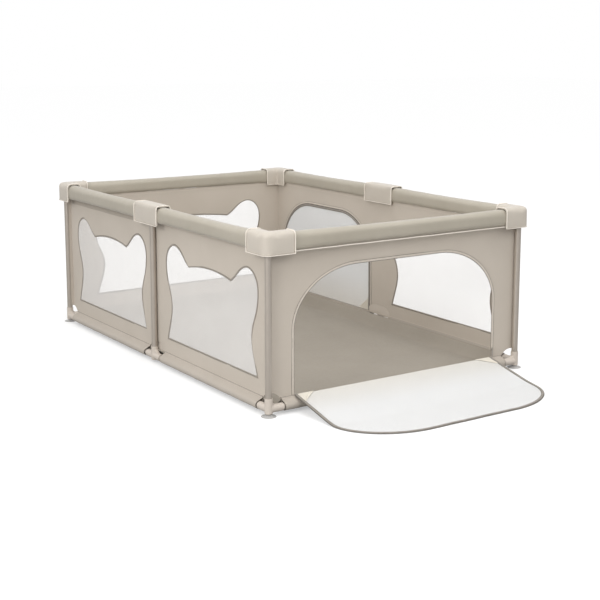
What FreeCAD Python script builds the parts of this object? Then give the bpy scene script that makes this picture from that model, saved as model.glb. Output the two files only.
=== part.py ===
"""Rectangular fabric playpen on a tubular steel frame, with a zip-down door in its front and right walls.

Frame: millimetres, +Z up, +X to the right, +Y from the front wall to the back wall. The origin is on the floor
at the centre of the rectangle that the post axes make. The front door is built folded down on the floor, and
the side door is built closed.
"""
import FreeCAD, Part
import math
import os

os.makedirs("parts", exist_ok=True)

V = FreeCAD.Vector
X = V(1, 0, 0)
Y = V(0, 1, 0)
Z = V(0, 0, 1)

# ---------------------------------------------------------------- driving dimensions, mm
# Steel frame
pen_width = 1200.0            # between post axes, across the front
pen_length = 1800.0           # between post axes, front to back
tube_diameter = 25.0
tube_wall = 0.7
tube_fit = 0.1                # radial clearance of a tube in its connector
bottom_tube_height = 28.0     # axis above the floor
top_tube_height = 633.5       # axis above the floor
post_gap = 6.0                # from a post's surface to the end of a horizontal tube

# Moulded connectors
socket_wall = 2.4
bottom_arm_length = 60.0      # from the post axis
top_arm_length = 58.0
bottom_connector_base = 10.0  # underside above the floor
bottom_socket_top = 68.0
top_socket_gap = 0.5          # from the walls' top edge up to a top socket
post_floor = 31.0             # lower end of each post
post_seat = 16.0              # depth of a post's end above the top tubes' underside
gusset_thickness = 15.0
gusset_drop = 17.0            # from the socket's top down to a gusset
gusset_end_gap = 6.0          # from a gusset's end to the arm's end
gusset_end_rise = 12.0        # of a gusset's end over the arm's axis
gusset_sag = 5.0              # how far a gusset's edge bows inwards
mid_gusset_extra = 6.0        # a tee connector's legs spread wider

# Suction feet
cup_radius = 28.0
cup_lip = 1.2
cup_hollow = 3.0
cup_neck_radius = 7.0
cup_peg_radius = 4.0
cup_peg_height = 19.0
cup_peg_fit = 0.1
cup_peg_end_gap = 1.0

# Padded top rails
rail_height = 69.0
rail_width = 56.0
rail_cover_thickness = 2.0
rail_top_round = 16.0
rail_bottom_round = 9.0
foam_fit = 0.3                # radial gap between the foam and its tube
rail_arm_gap = 4.0            # from a top connector's arm to the padding

# Padded caps over the rail joints
cap_fit = 0.3
cap_thickness = 4.7
corner_cap_arm = 95.0         # from the post axis to the cap's edge
mid_cap_half_length = 102.0
cap_drop = 10.0               # of a cap's lower edge under the rails
corner_cap_round = 30.0       # of the outside corner, seen from above

# Fabric walls
fabric_thickness = 2.0
wall_gap = 1.5                # from the posts inwards to the fabric
corner_seam = 12.0            # seam allowance of the front and back panels beyond the corners, behind the posts
sleeve_thickness = 2.2        # of the fabric round a bottom tube
sleeve_fit = 0.5
hem_height = 56.0             # seam that closes the bottom sleeve
sleeve_arm_gap = 2.0          # from a bottom connector's arm to the sleeve
notch_gap = 10.0              # from a bottom connector up to the rounded cut-out of the fabric round it
notch_centre_inset = 15.0
notch_centre_height = 30.0
mid_notch_extra = 8.0

# Ear-topped windows: each pair is how far the edge lies in from the window's widest point, and how far it lies
# over the window's foot where the window has its drawn height
window_edge = [(5, 0), (21, 51), (37, 98), (44, 145), (34, 191), (14, 235), (1, 285), (0, 323), (11, 358),
               (36, 384), (71, 397), (109, 390), (143, 370), (171, 346), (198, 329)]
window_drawn_height = 397.0
window_crown = 346.0          # of the shallow arch between the ears, over the foot
window_foot_margin = 61.0     # from the hem up to the foot
window_top_margin = 76.0      # from the rails down to the ears
short_window_margin = 89.0    # from a post axis to the widest point, in a half-length panel
wide_window_margin = 132.0    # the same, in the back wall
window_binding_width = 7.0
window_binding_thickness = 3.0
mesh_thickness = 1.0

# Arched doors
doorway_top_margin = 76.0     # from the rails down to the crown of a doorway
front_doorway_margin = 113.0  # from a post axis to the doorway
side_doorway_margin = 67.0
doorway_round_width = 287.0   # the rounded shoulders are quarter ellipses
side_doorway_round_width = 250.0
doorway_round_height = 228.0
zip_width = 7.0
zip_thickness = 2.6
door_gap = 0.9                # between the zip and the edge of the door
door_binding_width = 10.0
door_binding_thickness = 3.0
hinge_rise = 1.5              # of the seam that a door turns about, over the hem
hinge_gap = 3.0               # from the hinge line to the foot of the door
door_lower_length = 244.0     # from the hinge to the crease where the door meets the floor
crease_gap = 1.0
folded_height = 2.0           # middle of the folded door above the floor

# Zip sliders
slider_width = 7.0
slider_length = 11.0
slider_depth = 4.0
slider_gap = 0.4
slider_round = 1.2
slider_rise = 34.5            # of a slider's middle over the door's foot, at the end of its run
loop_radius = 2.4
loop_wire = 0.6
loop_lift = 1.2               # of the loop's centre off the slider's face
pull_length = 26.0
pull_width = 5.4
pull_thickness = 1.4
pull_hole_fit = 0.4           # of the pull's eye round the loop's wire
pull_rim = 0.7                # left above the eye

# Fabric floor
mat_thickness = 2.5
mat_slope_width = 46.0        # the margin that rises to the hem
mat_edge_drop = 6.0           # of the mat's edge under the hem
mat_edge_lip = 4.0
mat_corner_cut = 70.0

# ---------------------------------------------------------------- values that follow
half_width = pen_width / 2
half_length = pen_length / 2
half_panel = half_length / 2
tube_radius = tube_diameter / 2
bore_radius = tube_radius + tube_fit
tube_gap = tube_radius + post_gap
socket_radius = bore_radius + socket_wall
rail_bottom = top_tube_height - rail_height / 2
rail_top = top_tube_height + rail_height / 2
rail_end_gap = top_arm_length + rail_arm_gap
post_top = top_tube_height - tube_radius + post_seat
top_socket_bottom = rail_bottom + top_socket_gap
gusset_rise = bottom_socket_top - gusset_drop
gusset_reach = bottom_arm_length - gusset_end_gap
gusset_end_height = bottom_tube_height + gusset_end_rise
cap_inner = rail_width / 2 + cap_fit
cap_outer = cap_inner + cap_thickness
cap_top = rail_top + cap_fit + cap_thickness
cap_bottom = rail_bottom - cap_drop
wall_outer = tube_radius + wall_gap
wall_offset = wall_outer + fabric_thickness / 2
wall_inner = wall_outer + fabric_thickness
sleeve_bore = tube_radius + sleeve_fit
sleeve_radius = sleeve_bore + sleeve_thickness
sleeve_end_gap = bottom_arm_length + sleeve_arm_gap
notch_radius = math.hypot(notch_centre_inset - wall_outer + corner_seam,
                          bottom_socket_top + notch_gap - notch_centre_height)
window_foot = hem_height + window_foot_margin
window_height = rail_bottom - window_top_margin - window_foot
door_top = rail_bottom - doorway_top_margin
front_doorway_half = half_width - front_doorway_margin
side_doorway_half = half_panel - side_doorway_margin
hinge_height = hem_height + hinge_rise
fold_drop = hinge_height - folded_height
fold_slope = math.degrees(math.asin(fold_drop / door_lower_length))
closing_turn = 90.0 + fold_slope
slider_height = hinge_height + slider_rise
loop_out = -wall_offset + zip_thickness / 2 + slider_gap + slider_depth + loop_lift
pull_hole = loop_wire + pull_hole_fit
mat_edge_height = hem_height - mat_edge_drop


class Side:
    """One stretch of wall between two posts, drawn at the origin with +Y outwards and then put in place."""

    def __init__(self, name, turn, centre, span, mid_end):
        self.name = name
        self.turn = turn
        self.centre = centre
        self.span = span
        self.mid_end = mid_end    # the end at a middle post: -1, +1, or 0 where both ends are corners

    def place(self, shape):
        """The shape turned to face outwards on its own side of the pen."""
        moved = shape.copy()
        moved.rotate(V(0, 0, 0), Z, self.turn)
        moved.translate(V(self.centre[0], self.centre[1], 0))
        return moved

    def inset(self, end):
        """How far the fabric stops short of the post axis at one end."""
        if end == self.mid_end:
            return 0.0
        return wall_outer - corner_seam if self.mid_end == 0 else wall_inner


sides = [
    Side("front", 180, (0, -half_length), pen_width, 0),
    Side("back", 0, (0, half_length), pen_width, 0),
    Side("left_front", 90, (-half_width, -half_panel), half_length, 1),
    Side("left_back", 90, (-half_width, half_panel), half_length, -1),
    Side("right_front", -90, (half_width, -half_panel), half_length, -1),
    Side("right_back", -90, (half_width, half_panel), half_length, 1),
]
side_named = {side.name: side for side in sides}

corners = [
    ("front_left", -half_width, -half_length, 0),
    ("front_right", half_width, -half_length, 90),
    ("back_right", half_width, half_length, 180),
    ("back_left", -half_width, half_length, 270),
]
middles = [("middle_left", -half_width, 0, 90), ("middle_right", half_width, 0, -90)]


def save(name, solids):
    """Writes one node, a single solid or a group of separate ones."""
    shape = solids[0] if len(solids) == 1 else Part.makeCompound(solids)
    if not shape.isValid():
        print("not valid:", name)
    shape.exportStep(os.path.join("parts", name + ".step"))


def fuse(shapes):
    """One solid from several that meet."""
    return shapes[0].multiFuse(shapes[1:]).removeSplitter().Solids[0]


def box(x0, x1, y0, y1, z0, z1):
    """A block between two opposite corners."""
    return Part.makeBox(x1 - x0, y1 - y0, z1 - z0, V(x0, y0, z0))


def cylinder(radius, start, direction, length):
    """A round bar from a start point."""
    return Part.makeCylinder(radius, length, start, direction)


def put(shape, x, y, turn):
    """A copy turned about +Z and moved."""
    moved = shape.copy()
    moved.rotate(V(0, 0, 0), Z, turn)
    moved.translate(V(x, y, 0))
    return moved


def prism(points, direction):
    """A solid swept straight from a closed polygon."""
    return Part.Face(Part.makePolygon(points + [points[0]])).extrude(direction)


# ---------------------------------------------------------------- steel tubes
def tube(start, direction, length):
    """A thin round tube."""
    outer = cylinder(tube_radius, start, direction, length)
    return outer.cut(cylinder(tube_radius - tube_wall, start, direction, length))


def build_tubes():
    """Six posts, and a top and a bottom tube in every side."""
    for name, x, y, _ in corners + middles:
        save("post_" + name, [tube(V(x, y, post_floor), Z, post_top - post_floor)])
    for level, height in (("top", top_tube_height), ("bottom", bottom_tube_height)):
        rods = []
        for side in sides:
            length = side.span - 2 * tube_gap
            rods.append(side.place(tube(V(-length / 2, 0, height), X, length)))
        save(level + "_tubes", rods)


# ---------------------------------------------------------------- moulded connectors
def gusset(extra):
    """The curved web between a socket and the arm along +X."""
    reach = gusset_reach + extra
    start = V(0, 0, gusset_rise + extra)
    knee = V(socket_radius - 1, 0, gusset_rise + extra)
    end = V(reach, 0, gusset_end_height)
    middle = (knee + end) * 0.5 - V(gusset_sag, 0, gusset_sag)
    low = V(reach, 0, bottom_tube_height)
    origin = V(0, 0, bottom_tube_height)
    edges = [Part.makeLine(start, knee), Part.Arc(knee, middle, end).toShape(), Part.makeLine(end, low),
             Part.makeLine(low, origin), Part.makeLine(origin, start)]
    face = Part.Face(Part.Wire(edges))
    face.translate(V(0, -gusset_thickness / 2, 0))
    return face.extrude(V(0, gusset_thickness, 0))


def bottom_connector(arm_turns, extra, has_foot):
    """A socket for the post, arms for the bottom tubes, and curved gussets between them."""
    height = bottom_socket_top - bottom_connector_base
    base = V(0, 0, bottom_connector_base)
    solids = [cylinder(socket_radius, base, Z, height)]
    bores = [cylinder(bore_radius, V(0, 0, post_floor), Z, height)]
    for turn in arm_turns:
        arm = cylinder(socket_radius, V(0, 0, bottom_tube_height), X, bottom_arm_length)
        bore = cylinder(bore_radius, V(tube_gap - tube_fit, 0, bottom_tube_height), X, bottom_arm_length)
        solids.append(put(arm, 0, 0, turn))
        solids.append(put(gusset(extra), 0, 0, turn))
        bores.append(put(bore, 0, 0, turn))
    body = fuse(solids)
    if has_foot:
        depth = cup_peg_height + cup_peg_end_gap - bottom_connector_base
        bores.append(cylinder(cup_peg_radius + cup_peg_fit, base, Z, depth))
    return body.cut(bores)


def top_connector(arm_turns):
    """A socket down over the post and arms for the top tubes, all hidden by the cap."""
    top = top_tube_height + socket_radius
    solids = [cylinder(socket_radius, V(0, 0, top_socket_bottom), Z, top - top_socket_bottom)]
    bores = [cylinder(bore_radius, V(0, 0, top_socket_bottom), Z, post_top - top_socket_bottom)]
    for turn in arm_turns:
        arm = cylinder(socket_radius, V(0, 0, top_tube_height), X, top_arm_length)
        bore = cylinder(bore_radius, V(tube_gap - tube_fit, 0, top_tube_height), X, top_arm_length)
        solids.append(put(arm, 0, 0, turn))
        bores.append(put(bore, 0, 0, turn))
    return fuse(solids).cut(bores)


def build_connectors():
    """Three-way corner connectors and tee connectors, below and above."""
    corner_low = bottom_connector((0, 90), 0.0, True)
    tee_low = bottom_connector((0, 180), mid_gusset_extra, False)
    for name, x, y, turn in corners:
        save("bottom_connector_" + name, [put(corner_low, x, y, turn)])
    for name, x, y, turn in middles:
        save("bottom_connector_" + name, [put(tee_low, x, y, turn)])
    save("top_corner_connectors", [put(top_connector((0, 90)), x, y, turn) for _, x, y, turn in corners])
    save("top_tee_connectors", [put(top_connector((0, 180)), x, y, turn) for _, x, y, turn in middles])


def build_feet():
    """A soft suction foot pegged up into each corner connector."""
    neck_top = bottom_connector_base
    profile = [V(0, 0, cup_hollow), V(cup_neck_radius, 0, cup_hollow), V(cup_radius - cup_lip, 0, 0),
               V(cup_radius, 0, 0), V(cup_radius, 0, cup_lip), V(cup_radius * 0.6, 0, cup_lip + cup_hollow),
               V(cup_neck_radius, 0, neck_top - cup_hollow), V(cup_neck_radius, 0, neck_top),
               V(cup_peg_radius, 0, neck_top), V(cup_peg_radius, 0, cup_peg_height), V(0, 0, cup_peg_height)]
    face = Part.Face(Part.makePolygon(profile + [profile[0]]))
    cup = face.revolve(V(0, 0, 0), Z, 360)
    for name, x, y, _ in corners:
        save("suction_foot_" + name, [put(cup, x, y, 0)])


# ---------------------------------------------------------------- padded rails and caps
def rounded_bar(x0, x1, half, bottom, top, top_round, bottom_round):
    """A bar along X with rounded long edges."""
    bar = box(x0, x1, -half, half, bottom, top)
    for height, radius in ((top, top_round), (bottom, bottom_round)):
        edges = [edge for edge in bar.Edges if is_long_edge(edge, x1 - x0, height)]
        bar = bar.makeFillet(radius, edges)
    return bar


def is_long_edge(edge, length, height):
    """True for a straight edge of the bar's full length at the height given."""
    box_of_edge = edge.BoundBox
    flat = abs(box_of_edge.ZMin - height) < 1e-6 and abs(box_of_edge.ZMax - height) < 1e-6
    return flat and abs(box_of_edge.XLength - length) < 1e-6


def build_rails():
    """Foam round each top tube, and the fabric cover round the foam."""
    foams = []
    for side in sides:
        end = side.span / 2 - rail_end_gap
        skin = rail_cover_thickness
        outer = rounded_bar(-end, end, rail_width / 2, rail_bottom, rail_top, rail_top_round, rail_bottom_round)
        core = rounded_bar(-end, end, rail_width / 2 - skin, rail_bottom + skin, rail_top - skin,
                           rail_top_round - skin, rail_bottom_round - skin)
        hole = cylinder(tube_radius + foam_fit, V(-end, 0, top_tube_height), X, 2 * end)
        save("rail_cover_" + side.name, [side.place(outer.cut(core))])
        foams.append(side.place(core.cut(hole)))
    save("rail_foam", foams)


def corner_block(low, high, half, arm, plan_round, edge_round):
    """An L-shaped block along +X and +Y with its outside corner and its top edges rounded."""
    points = [V(-half, -half, low), V(arm, -half, low), V(arm, half, low), V(half, half, low),
              V(half, arm, low), V(-half, arm, low)]
    block = prism(points, V(0, 0, high - low))
    corner = [edge for edge in block.Edges if is_upright_at(edge, -half, -half)]
    block = block.makeFillet(plan_round, corner)
    top = [edge for edge in block.Edges if edge.BoundBox.ZMin > high - 1e-6 and not is_arm_end(edge, arm)]
    return block.makeFillet(edge_round, top)


def is_upright_at(edge, x, y):
    """True for a vertical edge that stands at a point."""
    found = edge.BoundBox
    return found.XLength < 1e-6 and found.YLength < 1e-6 and abs(found.XMin - x) + abs(found.YMin - y) < 1e-6


def is_arm_end(edge, arm):
    """True for an edge across the open end of an arm."""
    found = edge.BoundBox
    return found.XMin > arm - 1e-6 or found.YMin > arm - 1e-6


def build_caps():
    """Padded covers over the rail joints: L-shaped at the corners, straight at the middle posts."""
    inner_round = rail_top_round + cap_fit
    outer = corner_block(cap_bottom, cap_top, cap_outer, corner_cap_arm, corner_cap_round,
                         inner_round + cap_thickness * 0.5)
    cavity = corner_block(cap_bottom, cap_top - cap_thickness, cap_inner, corner_cap_arm,
                          corner_cap_round - cap_thickness, inner_round)
    corner_cap = outer.cut(cavity)
    for name, x, y, turn in corners:
        save("cap_" + name, [put(corner_cap, x, y, turn)])
    length = mid_cap_half_length
    outer = rounded_bar(-length, length, cap_outer, cap_bottom, cap_top, inner_round + cap_thickness * 0.5, 1.0)
    cavity = rounded_bar(-length, length, cap_inner, cap_bottom - 1.0, cap_top - cap_thickness, inner_round, 0.5)
    middle_cap = outer.cut(cavity)
    for name, x, y, turn in middles:
        save("cap_" + name, [put(middle_cap, x, y, turn)])


# ---------------------------------------------------------------- walls, windows and doorways
def doorway_edges(half, round_width, inset):
    """The arch of a doorway in the XZ plane, from its right foot over the crown to its left foot."""
    straight_top = door_top - doorway_round_height
    across = round_width - inset
    rise = doorway_round_height - inset
    flat = half - round_width
    foot = V(half - inset, 0, hinge_height)
    shoulder = V(half - inset, 0, straight_top)
    crown = V(flat, 0, straight_top + rise)
    major, minor = (V(1, 0, 0), across), (V(0, 0, 1), rise)
    bend = quarter_ellipse(V(flat, 0, straight_top), major, minor)
    right = [Part.makeLine(foot, shoulder), bend]
    left = [edge.mirror(V(0, 0, 0), X) for edge in right]
    return right + [Part.makeLine(crown, V(-flat, 0, crown.z))] + left


def quarter_ellipse(centre, first, second):
    """A quarter of an ellipse from the end of its first half-axis to the end of its second."""
    points = []
    for step in range(0, 13):
        angle = math.radians(step * 90.0 / 12)
        points.append(centre + first[0] * (first[1] * math.cos(angle)) + second[0] * (second[1] * math.sin(angle)))
    curve = Part.BSplineCurve()
    curve.interpolate(Points=points, InitialTangent=second[0] * second[1], FinalTangent=first[0] * -first[1])
    return curve.toShape()


def doorway_face(half, round_width, inset, foot):
    """The flat area of a doorway, down to the height of its foot."""
    edges = doorway_edges(half, round_width, inset)
    low = [V(-half + inset, 0, hinge_height), V(-half + inset, 0, foot), V(half - inset, 0, foot),
           V(half - inset, 0, hinge_height)]
    if abs(foot - hinge_height) < 1e-6:
        closing = [Part.makeLine(low[0], low[3])]
    else:
        closing = [Part.makeLine(low[i], low[i + 1]) for i in range(3)]
    return Part.Face(Part.Wire(Part.__sortEdges__(edges + closing)))


def doorway_solid(half, round_width, inset, foot, thickness):
    """A doorway's area given a thickness, in the middle of the fabric."""
    face = doorway_face(half, round_width, inset, foot)
    face.translate(V(0, -wall_offset - thickness / 2, 0))
    return face.extrude(V(0, thickness, 0))


def shrunk(points, distance):
    """The corners of a closed outline, anticlockwise from the front, each moved inwards with its two sides."""
    moved = []
    for before, point, after in zip(points[-1:] + points[:-1], points, points[1:] + points[:1]):
        first = inward(before, point)
        second = inward(point, after)
        moved.append(point + (first + second) * (distance / (1 + first.dot(second))))
    return moved


def inward(start, end):
    """The direction square to one side of an anticlockwise outline in the XZ plane, towards its inside."""
    along = (end - start).normalize()
    return V(-along.z, 0, along.x)


def window_face(half, inset):
    """The flat area of an ear-topped window, drawn smaller all round by an inset."""
    stretch = window_height / window_drawn_height
    side = [V(half - margin, 0, window_foot + height * stretch) for margin, height in window_edge]
    other_side = [V(-point.x, 0, point.z) for point in reversed(side)]
    crown = V(0, 0, window_foot + window_crown * stretch)
    outline = shrunk(side + [crown] + other_side, inset)
    right = outline[:len(side)]
    left = outline[len(side) + 1:]
    edges = []
    for points in (right, left):
        curve = Part.BSplineCurve()
        curve.interpolate(points)
        edges.append(curve.toShape())
    edges.append(Part.Arc(right[-1], outline[len(side)], left[0]).toShape())
    edges.append(Part.makeLine(left[-1], right[0]))
    return Part.Face(Part.Wire(Part.__sortEdges__(edges)))


def window_solid(half, inset, thickness):
    """A window's area given a thickness, in the middle of the fabric."""
    face = window_face(half, inset)
    face.translate(V(0, -wall_offset - thickness / 2, 0))
    return face.extrude(V(0, thickness, 0))


def sleeve(x0, x1):
    """The fabric round a bottom tube, drawn to a seam in the plane of the wall."""
    centre = V(0, 0, bottom_tube_height)
    corner = V(0, -wall_outer, hem_height)
    away = corner - centre
    lean = math.atan2(away.z, away.y)
    touch = lean - math.acos(sleeve_radius / away.Length)
    tangent = centre + V(0, math.cos(touch), math.sin(touch)) * sleeve_radius
    points = [corner, tangent, centre, centre + V(0, -sleeve_radius, 0), V(0, -wall_inner, bottom_tube_height),
              V(0, -wall_inner, hem_height)]
    web = prism([point + V(x0, 0, 0) for point in points], V(x1 - x0, 0, 0))
    loop = cylinder(sleeve_radius, V(x0, 0, bottom_tube_height), X, x1 - x0)
    bore = cylinder(sleeve_bore, V(x0, 0, bottom_tube_height), X, x1 - x0)
    return fuse([web, loop]).cut(bore)


def wall(side):
    """One panel of fabric with its bottom sleeve and the cut-outs round the bottom connectors."""
    low = -side.span / 2
    high = side.span / 2
    plate = box(low + side.inset(-1), high - side.inset(1), -wall_inner, -wall_outer, hem_height, rail_bottom)
    panel = fuse([plate, sleeve(low + sleeve_end_gap, high - sleeve_end_gap)])
    for end, edge in ((-1, low), (1, high)):
        radius = notch_radius + (mid_notch_extra if end == side.mid_end else 0.0)
        centre = V(edge - end * notch_centre_inset, -wall_inner - sleeve_radius, notch_centre_height)
        panel = panel.cut(cylinder(radius, centre, Y, 2 * (wall_inner + sleeve_radius)))
    return panel


def build_walls():
    """The six fabric panels, the mesh in the windows and the binding round it."""
    bindings = []
    for side in sides:
        panel = wall(side)
        if side.name == "front":
            panel = panel.cut(doorway_solid(front_doorway_half, doorway_round_width, 0, hem_height,
                                            3 * fabric_thickness))
        elif side.name == "right_back":
            panel = panel.cut(doorway_solid(side_doorway_half, side_doorway_round_width, 0, hem_height,
                                            3 * fabric_thickness))
        else:
            margin = wide_window_margin if side.mid_end == 0 else short_window_margin
            half = side.span / 2 - margin
            panel = panel.cut(window_solid(half, 0.0, 3 * fabric_thickness))
            ring = window_solid(half, 0.0, window_binding_thickness)
            ring = ring.cut(window_solid(half, window_binding_width, window_binding_thickness * 2))
            bindings.append(side.place(ring.Solids[0]))
            mesh = window_solid(half, window_binding_width, mesh_thickness)
            save("window_mesh_" + side.name, [side.place(mesh)])
        save("wall_" + side.name, [side.place(panel.Solids[0])])
    save("window_bindings", bindings)


# ---------------------------------------------------------------- doors and zips
def door_pieces(half, round_width):
    """A door drawn closed: the mesh and the binding of its lower and its upper part."""
    inset = zip_width + door_gap
    foot = hinge_height + hinge_gap
    crease = hinge_height + door_lower_length
    outer = doorway_solid(half, round_width, inset, hinge_height, door_binding_thickness)
    inner = doorway_solid(half, round_width, inset + door_binding_width, hinge_height,
                          door_binding_thickness * 2)
    mesh = doorway_solid(half, round_width, inset + door_binding_width, hinge_height, mesh_thickness)
    binding = outer.cut(inner)
    reach = half + door_top
    bands = {"lower": (foot, crease - crease_gap), "upper": (crease + crease_gap, door_top)}
    pieces = {}
    for part, (low, high) in bands.items():
        band = box(-reach, reach, -wall_offset - 10, -wall_offset + 10, low, high)
        pieces[part + "_mesh"] = mesh.common(band).Solids
        pieces[part + "_binding"] = binding.common(band).Solids
    return pieces


def folded(shape, part):
    """A piece of a closed door turned down on the floor, creased where it meets the floor."""
    moved = shape.copy()
    if part == "upper":
        moved.rotate(V(0, -wall_offset, hinge_height + door_lower_length), X, fold_slope)
    moved.rotate(V(0, -wall_offset, hinge_height), X, -closing_turn)
    return moved


def build_doors():
    """The front door, folded down, and the side door, closed."""
    front = side_named["front"]
    for name, solids in door_pieces(front_doorway_half, doorway_round_width).items():
        part = name.split("_")[0]
        save("front_door_" + name, [front.place(folded(solid, part)) for solid in solids])
    side = side_named["right_back"]
    for name, solids in door_pieces(side_doorway_half, side_doorway_round_width).items():
        save("side_door_" + name, [side.place(solid) for solid in solids])


def zip_track(half, round_width):
    """The row of zip teeth and its tape, sewn round the inside of a doorway."""
    outer = doorway_solid(half, round_width, 0.0, hinge_height, zip_thickness)
    return outer.cut(doorway_solid(half, round_width, zip_width, hinge_height, zip_thickness * 2)).Solids[0]


def zip_slider(centre):
    """The slider body, at its place along the wall, with the wire loop that carries its pull."""
    face_out = -wall_offset + zip_thickness / 2 + slider_gap
    body = box(centre - slider_width / 2, centre + slider_width / 2, face_out, face_out + slider_depth,
               slider_height - slider_length / 2, slider_height + slider_length / 2)
    body = body.makeFillet(slider_round, [edge for edge in body.Edges if edge.BoundBox.YLength > 1])
    loop = Part.makeTorus(loop_radius, loop_wire, V(centre, loop_out, slider_height), X)
    return fuse([body, loop])


def zip_pull(centre):
    """A flat pull whose eye runs round the slider's loop, so that it swings about the loop's centre."""
    hole_height = slider_height - loop_radius
    top = hole_height + pull_hole + pull_rim
    plate = box(centre - pull_width / 2, centre + pull_width / 2, loop_out - pull_thickness / 2,
                loop_out + pull_thickness / 2, top - pull_length, top)
    plate = plate.makeFillet(pull_width * 0.3, [edge for edge in plate.Edges if edge.BoundBox.YLength > 1])
    eye = cylinder(pull_hole, V(centre, loop_out - pull_thickness, hole_height), Y, 2 * pull_thickness)
    return plate.cut(eye)


def build_zips():
    """A track, a slider and a pull at each doorway."""
    for name, side, half, round_width, end in (
            ("front", side_named["front"], front_doorway_half, doorway_round_width, -1),
            ("side", side_named["right_back"], side_doorway_half, side_doorway_round_width, 1)):
        centre = end * (half - zip_width / 2)
        save(name + "_zip", [side.place(zip_track(half, round_width))])
        save(name + "_zip_slider", [side.place(zip_slider(centre))])
        save(name + "_zip_pull", [side.place(zip_pull(centre))])


# ---------------------------------------------------------------- floor
def tray(inset_bottom, bottom, inset_top, top):
    """A solid that widens from one rectangle to a larger one above it."""
    rings = []
    for inset, height in ((inset_bottom, bottom), (inset_top, top)):
        x = half_width - inset
        y = half_length - inset
        rings.append(Part.makePolygon([V(-x, -y, height), V(x, -y, height), V(x, y, height), V(-x, y, height),
                                       V(-x, -y, height)]))
    return Part.makeLoft(rings, True, True)


def build_floor():
    """A fabric floor that lies flat and rises at its margin to the hem of the walls."""
    rim = wall_inner
    low = rim + mat_slope_width
    slope = mat_slope_width / (mat_edge_height - mat_edge_lip)
    outer = tray(low, 0.0, rim, mat_edge_height - mat_edge_lip)
    lip = box(-half_width + rim, half_width - rim, -half_length + rim, half_length - rim,
              mat_edge_height - mat_edge_lip, mat_edge_height)
    inset = mat_thickness * math.hypot(1.0, slope)
    inner = tray(low + inset - mat_thickness * slope, mat_thickness, rim + inset, mat_edge_height - mat_edge_lip)
    hollow = box(-half_width + rim + inset, half_width - rim - inset, -half_length + rim + inset,
                 half_length - rim - inset, mat_edge_height - mat_edge_lip, mat_edge_height + 1)
    mat = fuse([outer, lip]).cut([inner, hollow])
    for _, x, y, _ in corners:
        mat = mat.cut(cylinder(mat_corner_cut, V(x, y, -1), Z, mat_edge_height + 2))
    save("floor_mat", [mat.Solids[0]])


build_tubes()
build_connectors()
build_feet()
build_rails()
build_caps()
build_walls()
build_doors()
build_zips()
build_floor()
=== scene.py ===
"""Looks of a rectangular fabric playpen: padded rails and caps, netted walls, zip-down doors and a fabric floor."""
import logging
import math
from dataclasses import dataclass
from enum import Enum
from typing import Callable, Optional, Sequence

import bpy
import numpy as np
from mathutils import Matrix, Vector


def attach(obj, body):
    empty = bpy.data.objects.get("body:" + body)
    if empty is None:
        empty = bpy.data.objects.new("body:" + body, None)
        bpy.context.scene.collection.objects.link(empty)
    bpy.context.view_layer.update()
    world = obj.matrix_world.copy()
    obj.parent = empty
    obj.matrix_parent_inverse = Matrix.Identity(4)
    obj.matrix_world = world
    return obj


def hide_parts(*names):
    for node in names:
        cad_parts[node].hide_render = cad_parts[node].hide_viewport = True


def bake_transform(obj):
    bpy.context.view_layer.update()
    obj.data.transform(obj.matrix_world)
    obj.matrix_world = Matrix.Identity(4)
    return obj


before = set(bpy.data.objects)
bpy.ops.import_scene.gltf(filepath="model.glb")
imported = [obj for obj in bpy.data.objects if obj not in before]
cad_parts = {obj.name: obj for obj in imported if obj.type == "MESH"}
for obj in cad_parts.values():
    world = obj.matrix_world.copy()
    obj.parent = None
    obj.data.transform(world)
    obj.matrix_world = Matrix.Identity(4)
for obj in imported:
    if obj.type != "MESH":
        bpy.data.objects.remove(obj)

log = logging.getLogger("playpen")

Colour = tuple[float, float, float]

# ---------------------------------------------------------------- sizes shared by several pieces, metres
HALF_WIDTH = 0.6             # from the middle of the pen to the post axes
HALF_LENGTH = 0.9
WALL_LINE = 0.015            # from the post axes in to the middle of the fabric
HEM_HEIGHT = 0.056           # seam between a wall and its bottom sleeve
RAIL_BOTTOM = 0.599
RAIL_TOP = 0.668
DOOR_TOP = 0.523
DOOR_FOOT = 0.0575           # hinge line of both doors
DOOR_CREASE = 0.244          # along a door from its hinge
DOOR_ROUND_HEIGHT = 0.228
ZIP_WIDTH = 0.007
DOOR_GAP = 0.0009            # between a door's teeth and the doorway's
CUTTER_REACH = 0.02          # of a cutting plate past the wall on each side
SAME = 1e-6                  # closer points are merged
NEAR = 1e-5                  # closer heights count as level


# ---------------------------------------------------------------- finishes
class Make(Enum):
    """How a finish is made, which settles the nodes it gets."""

    WOVEN = "woven"
    NET = "net"
    TAPE = "tape"
    MOULDED = "moulded"
    PAINTED = "painted"
    METAL = "metal"
    RUBBER = "rubber"


@dataclass(frozen=True)
class Finish:
    """One finish: its colours and how its surface feels."""

    name: str
    make: Make
    slot: str
    main: Colour
    deep: Colour
    rough: float
    relief: float = 0.25
    pitch: float = 0.0014
    sheen: float = 0.0
    seam_heights: tuple[float, ...] = ()
    hinge_shade: Optional[Colour] = None    # painted shade: darker cream a net takes near its hinge, for the sleeve and shade behind it
    cover: float = 0.0               # how much closer a net is than the windows' net
    glow: float = 0.0                # painted light: a net glows in its own colour, which brightens it


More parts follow.
